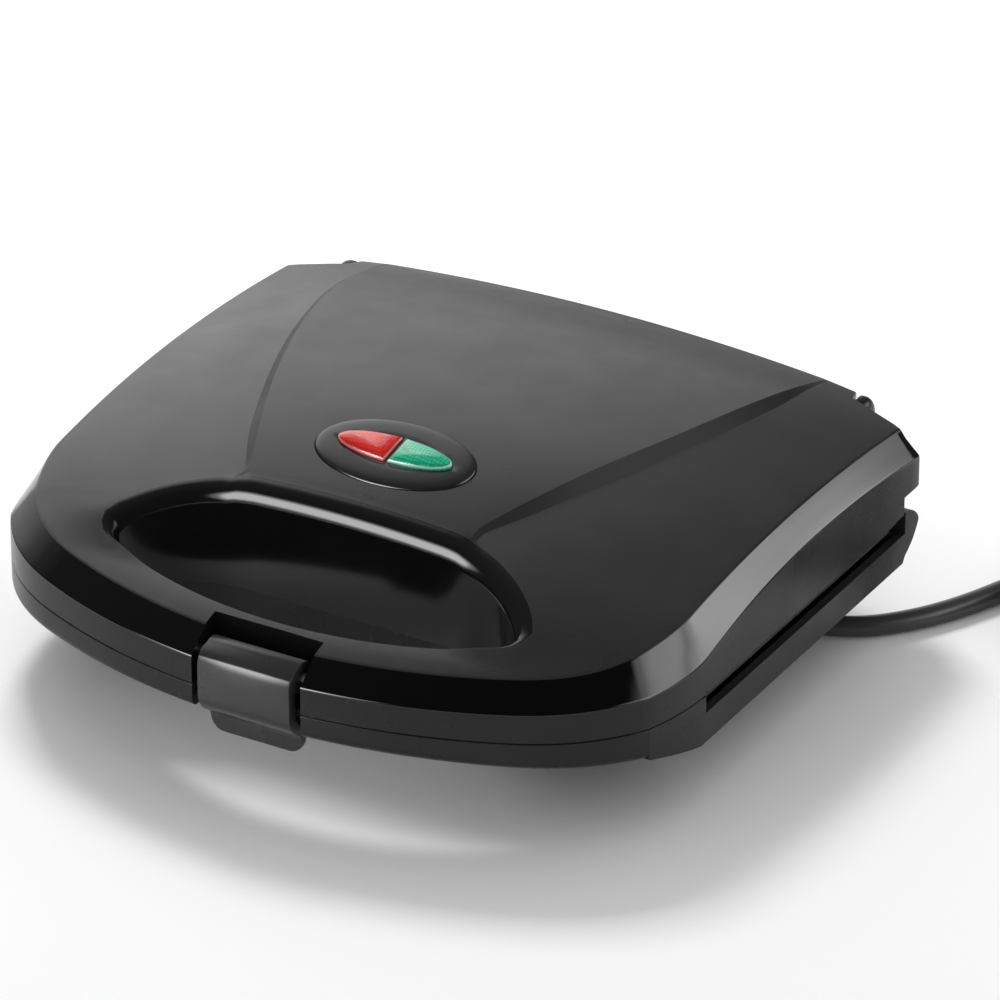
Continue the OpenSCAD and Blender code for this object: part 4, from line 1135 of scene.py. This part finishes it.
# what the gloss mirrors: the direction of each glow, its level, and its fall by the cosine of the angle
GLOWS = [
    ((-0.72, 0.58, 0.38), 1.7,
     [(0.0, 0.02), (0.74, 0.06), (0.8, 0.12), (0.85, 0.27), (0.9, 0.55), (0.94, 0.8), (0.97, 1)]),
    ((0.65, 0.73, 0.14), 4.6, [(0.0, 0), (0.955, 0), (0.978, 0.35), (0.99, 1)]),
    ((-0.44, -0.85, 0.25), 15, [(0.0, 0), (0.9, 0), (0.945, 0.3), (0.98, 1)]),
    ((0.93, 0.2, 0.3), 4.2, [(0.0, 0), (0.82, 0), (0.92, 0.45), (0.98, 1)])]
KEY_TOWARD, KEY_DISTANCE, KEY_SIZE, KEY_POWER = (-0.55, 0.6, 1), 1.4, 0.36, 12.5
FLOOR_RADIUS = 2600
FLOOR_SOLID, FLOOR_GONE = 0.28, 0.62  # metres from the middle between which the floor fades to white


def make_floor():
    """Pale disc that holds the shadow and fades out around the object."""
    floor = prism("floor", circle_points((60, 0), FLOOR_RADIUS, 96), -0.4, -0.02)
    f = Finish("pale_floor", (0.93, 0.93, 0.93), 0.6)
    f.tinted(f.noise(400, 2), (0.94, 0.94, 0.94))
    far = add_node(f.tree, "VectorMath", f.place, operation="LENGTH").outputs["Value"]
    clear = add_node(f.tree, "BsdfTransparent").outputs["BSDF"]
    faded = add_node(f.tree, "MixShader", f.spread(far, 0, 1, FLOOR_SOLID, FLOOR_GONE),
                     f.shader.outputs["BSDF"], clear)
    feed(f.tree.nodes["Material Output"], faded.outputs["Shader"])
    floor.data.materials.append(f.material)


def make_world():
    """White for the camera, an even light for the surfaces, and four glows for the gloss."""
    world = bpy.data.worlds.new("studio")
    scene.world = world
    world.use_nodes = True
    tree = world.node_tree
    place = add_node(tree, "TexCoord").outputs["Generated"]
    total = 0
    for direction, level, fall in GLOWS:
        toward = add_node(tree, "VectorMath", place, Vector(direction).normalized(),
                          operation="DOT_PRODUCT")
        ramp = add_node(tree, "ValToRGB", toward.outputs["Value"])
        ramp.color_ramp.interpolation = "EASE"
        stops = ramp.color_ramp.elements
        stops.remove(stops[1])
        for position, share in fall:
            stop = stops.new(position) if position else stops[0]
            stop.color = (share, share, share, 1)
        total = add_node(tree, "Math", ramp.outputs["Color"], level, total,
                         operation="MULTIPLY_ADD").outputs["Value"]
    even, mirrored, seen = (add_node(tree, "Background", (1, 1, 1, 1), level).outputs["Background"]
                            for level in (AMBIENT, total, 1))
    rays = add_node(tree, "LightPath").outputs
    lit = add_node(tree, "MixShader", rays["Is Glossy Ray"], even, mirrored)
    either = add_node(tree, "Math", rays["Is Camera Ray"], rays["Is Transmission Ray"], operation="MAXIMUM")
    shown = add_node(tree, "MixShader", either.outputs["Value"], lit.outputs["Shader"], seen)
    feed(tree.nodes["World Output"], shown.outputs["Shader"])


def make_key_light():
    """Square lamp that lights the surfaces; the gloss mirrors the world's glows in its place."""
    data = bpy.data.lights.new("key", "AREA")
    data.shape = "SQUARE"
    data.size = KEY_SIZE
    data.energy = KEY_POWER
    lamp = added("key", data)
    toward = Vector(KEY_TOWARD).normalized()
    facing = toward.to_track_quat("Z", "Y").to_matrix().to_4x4()
    lamp.matrix_world = Matrix.Translation(toward * KEY_DISTANCE) @ facing
    lamp.visible_glossy = False


make_floor()
make_world()
make_key_light()
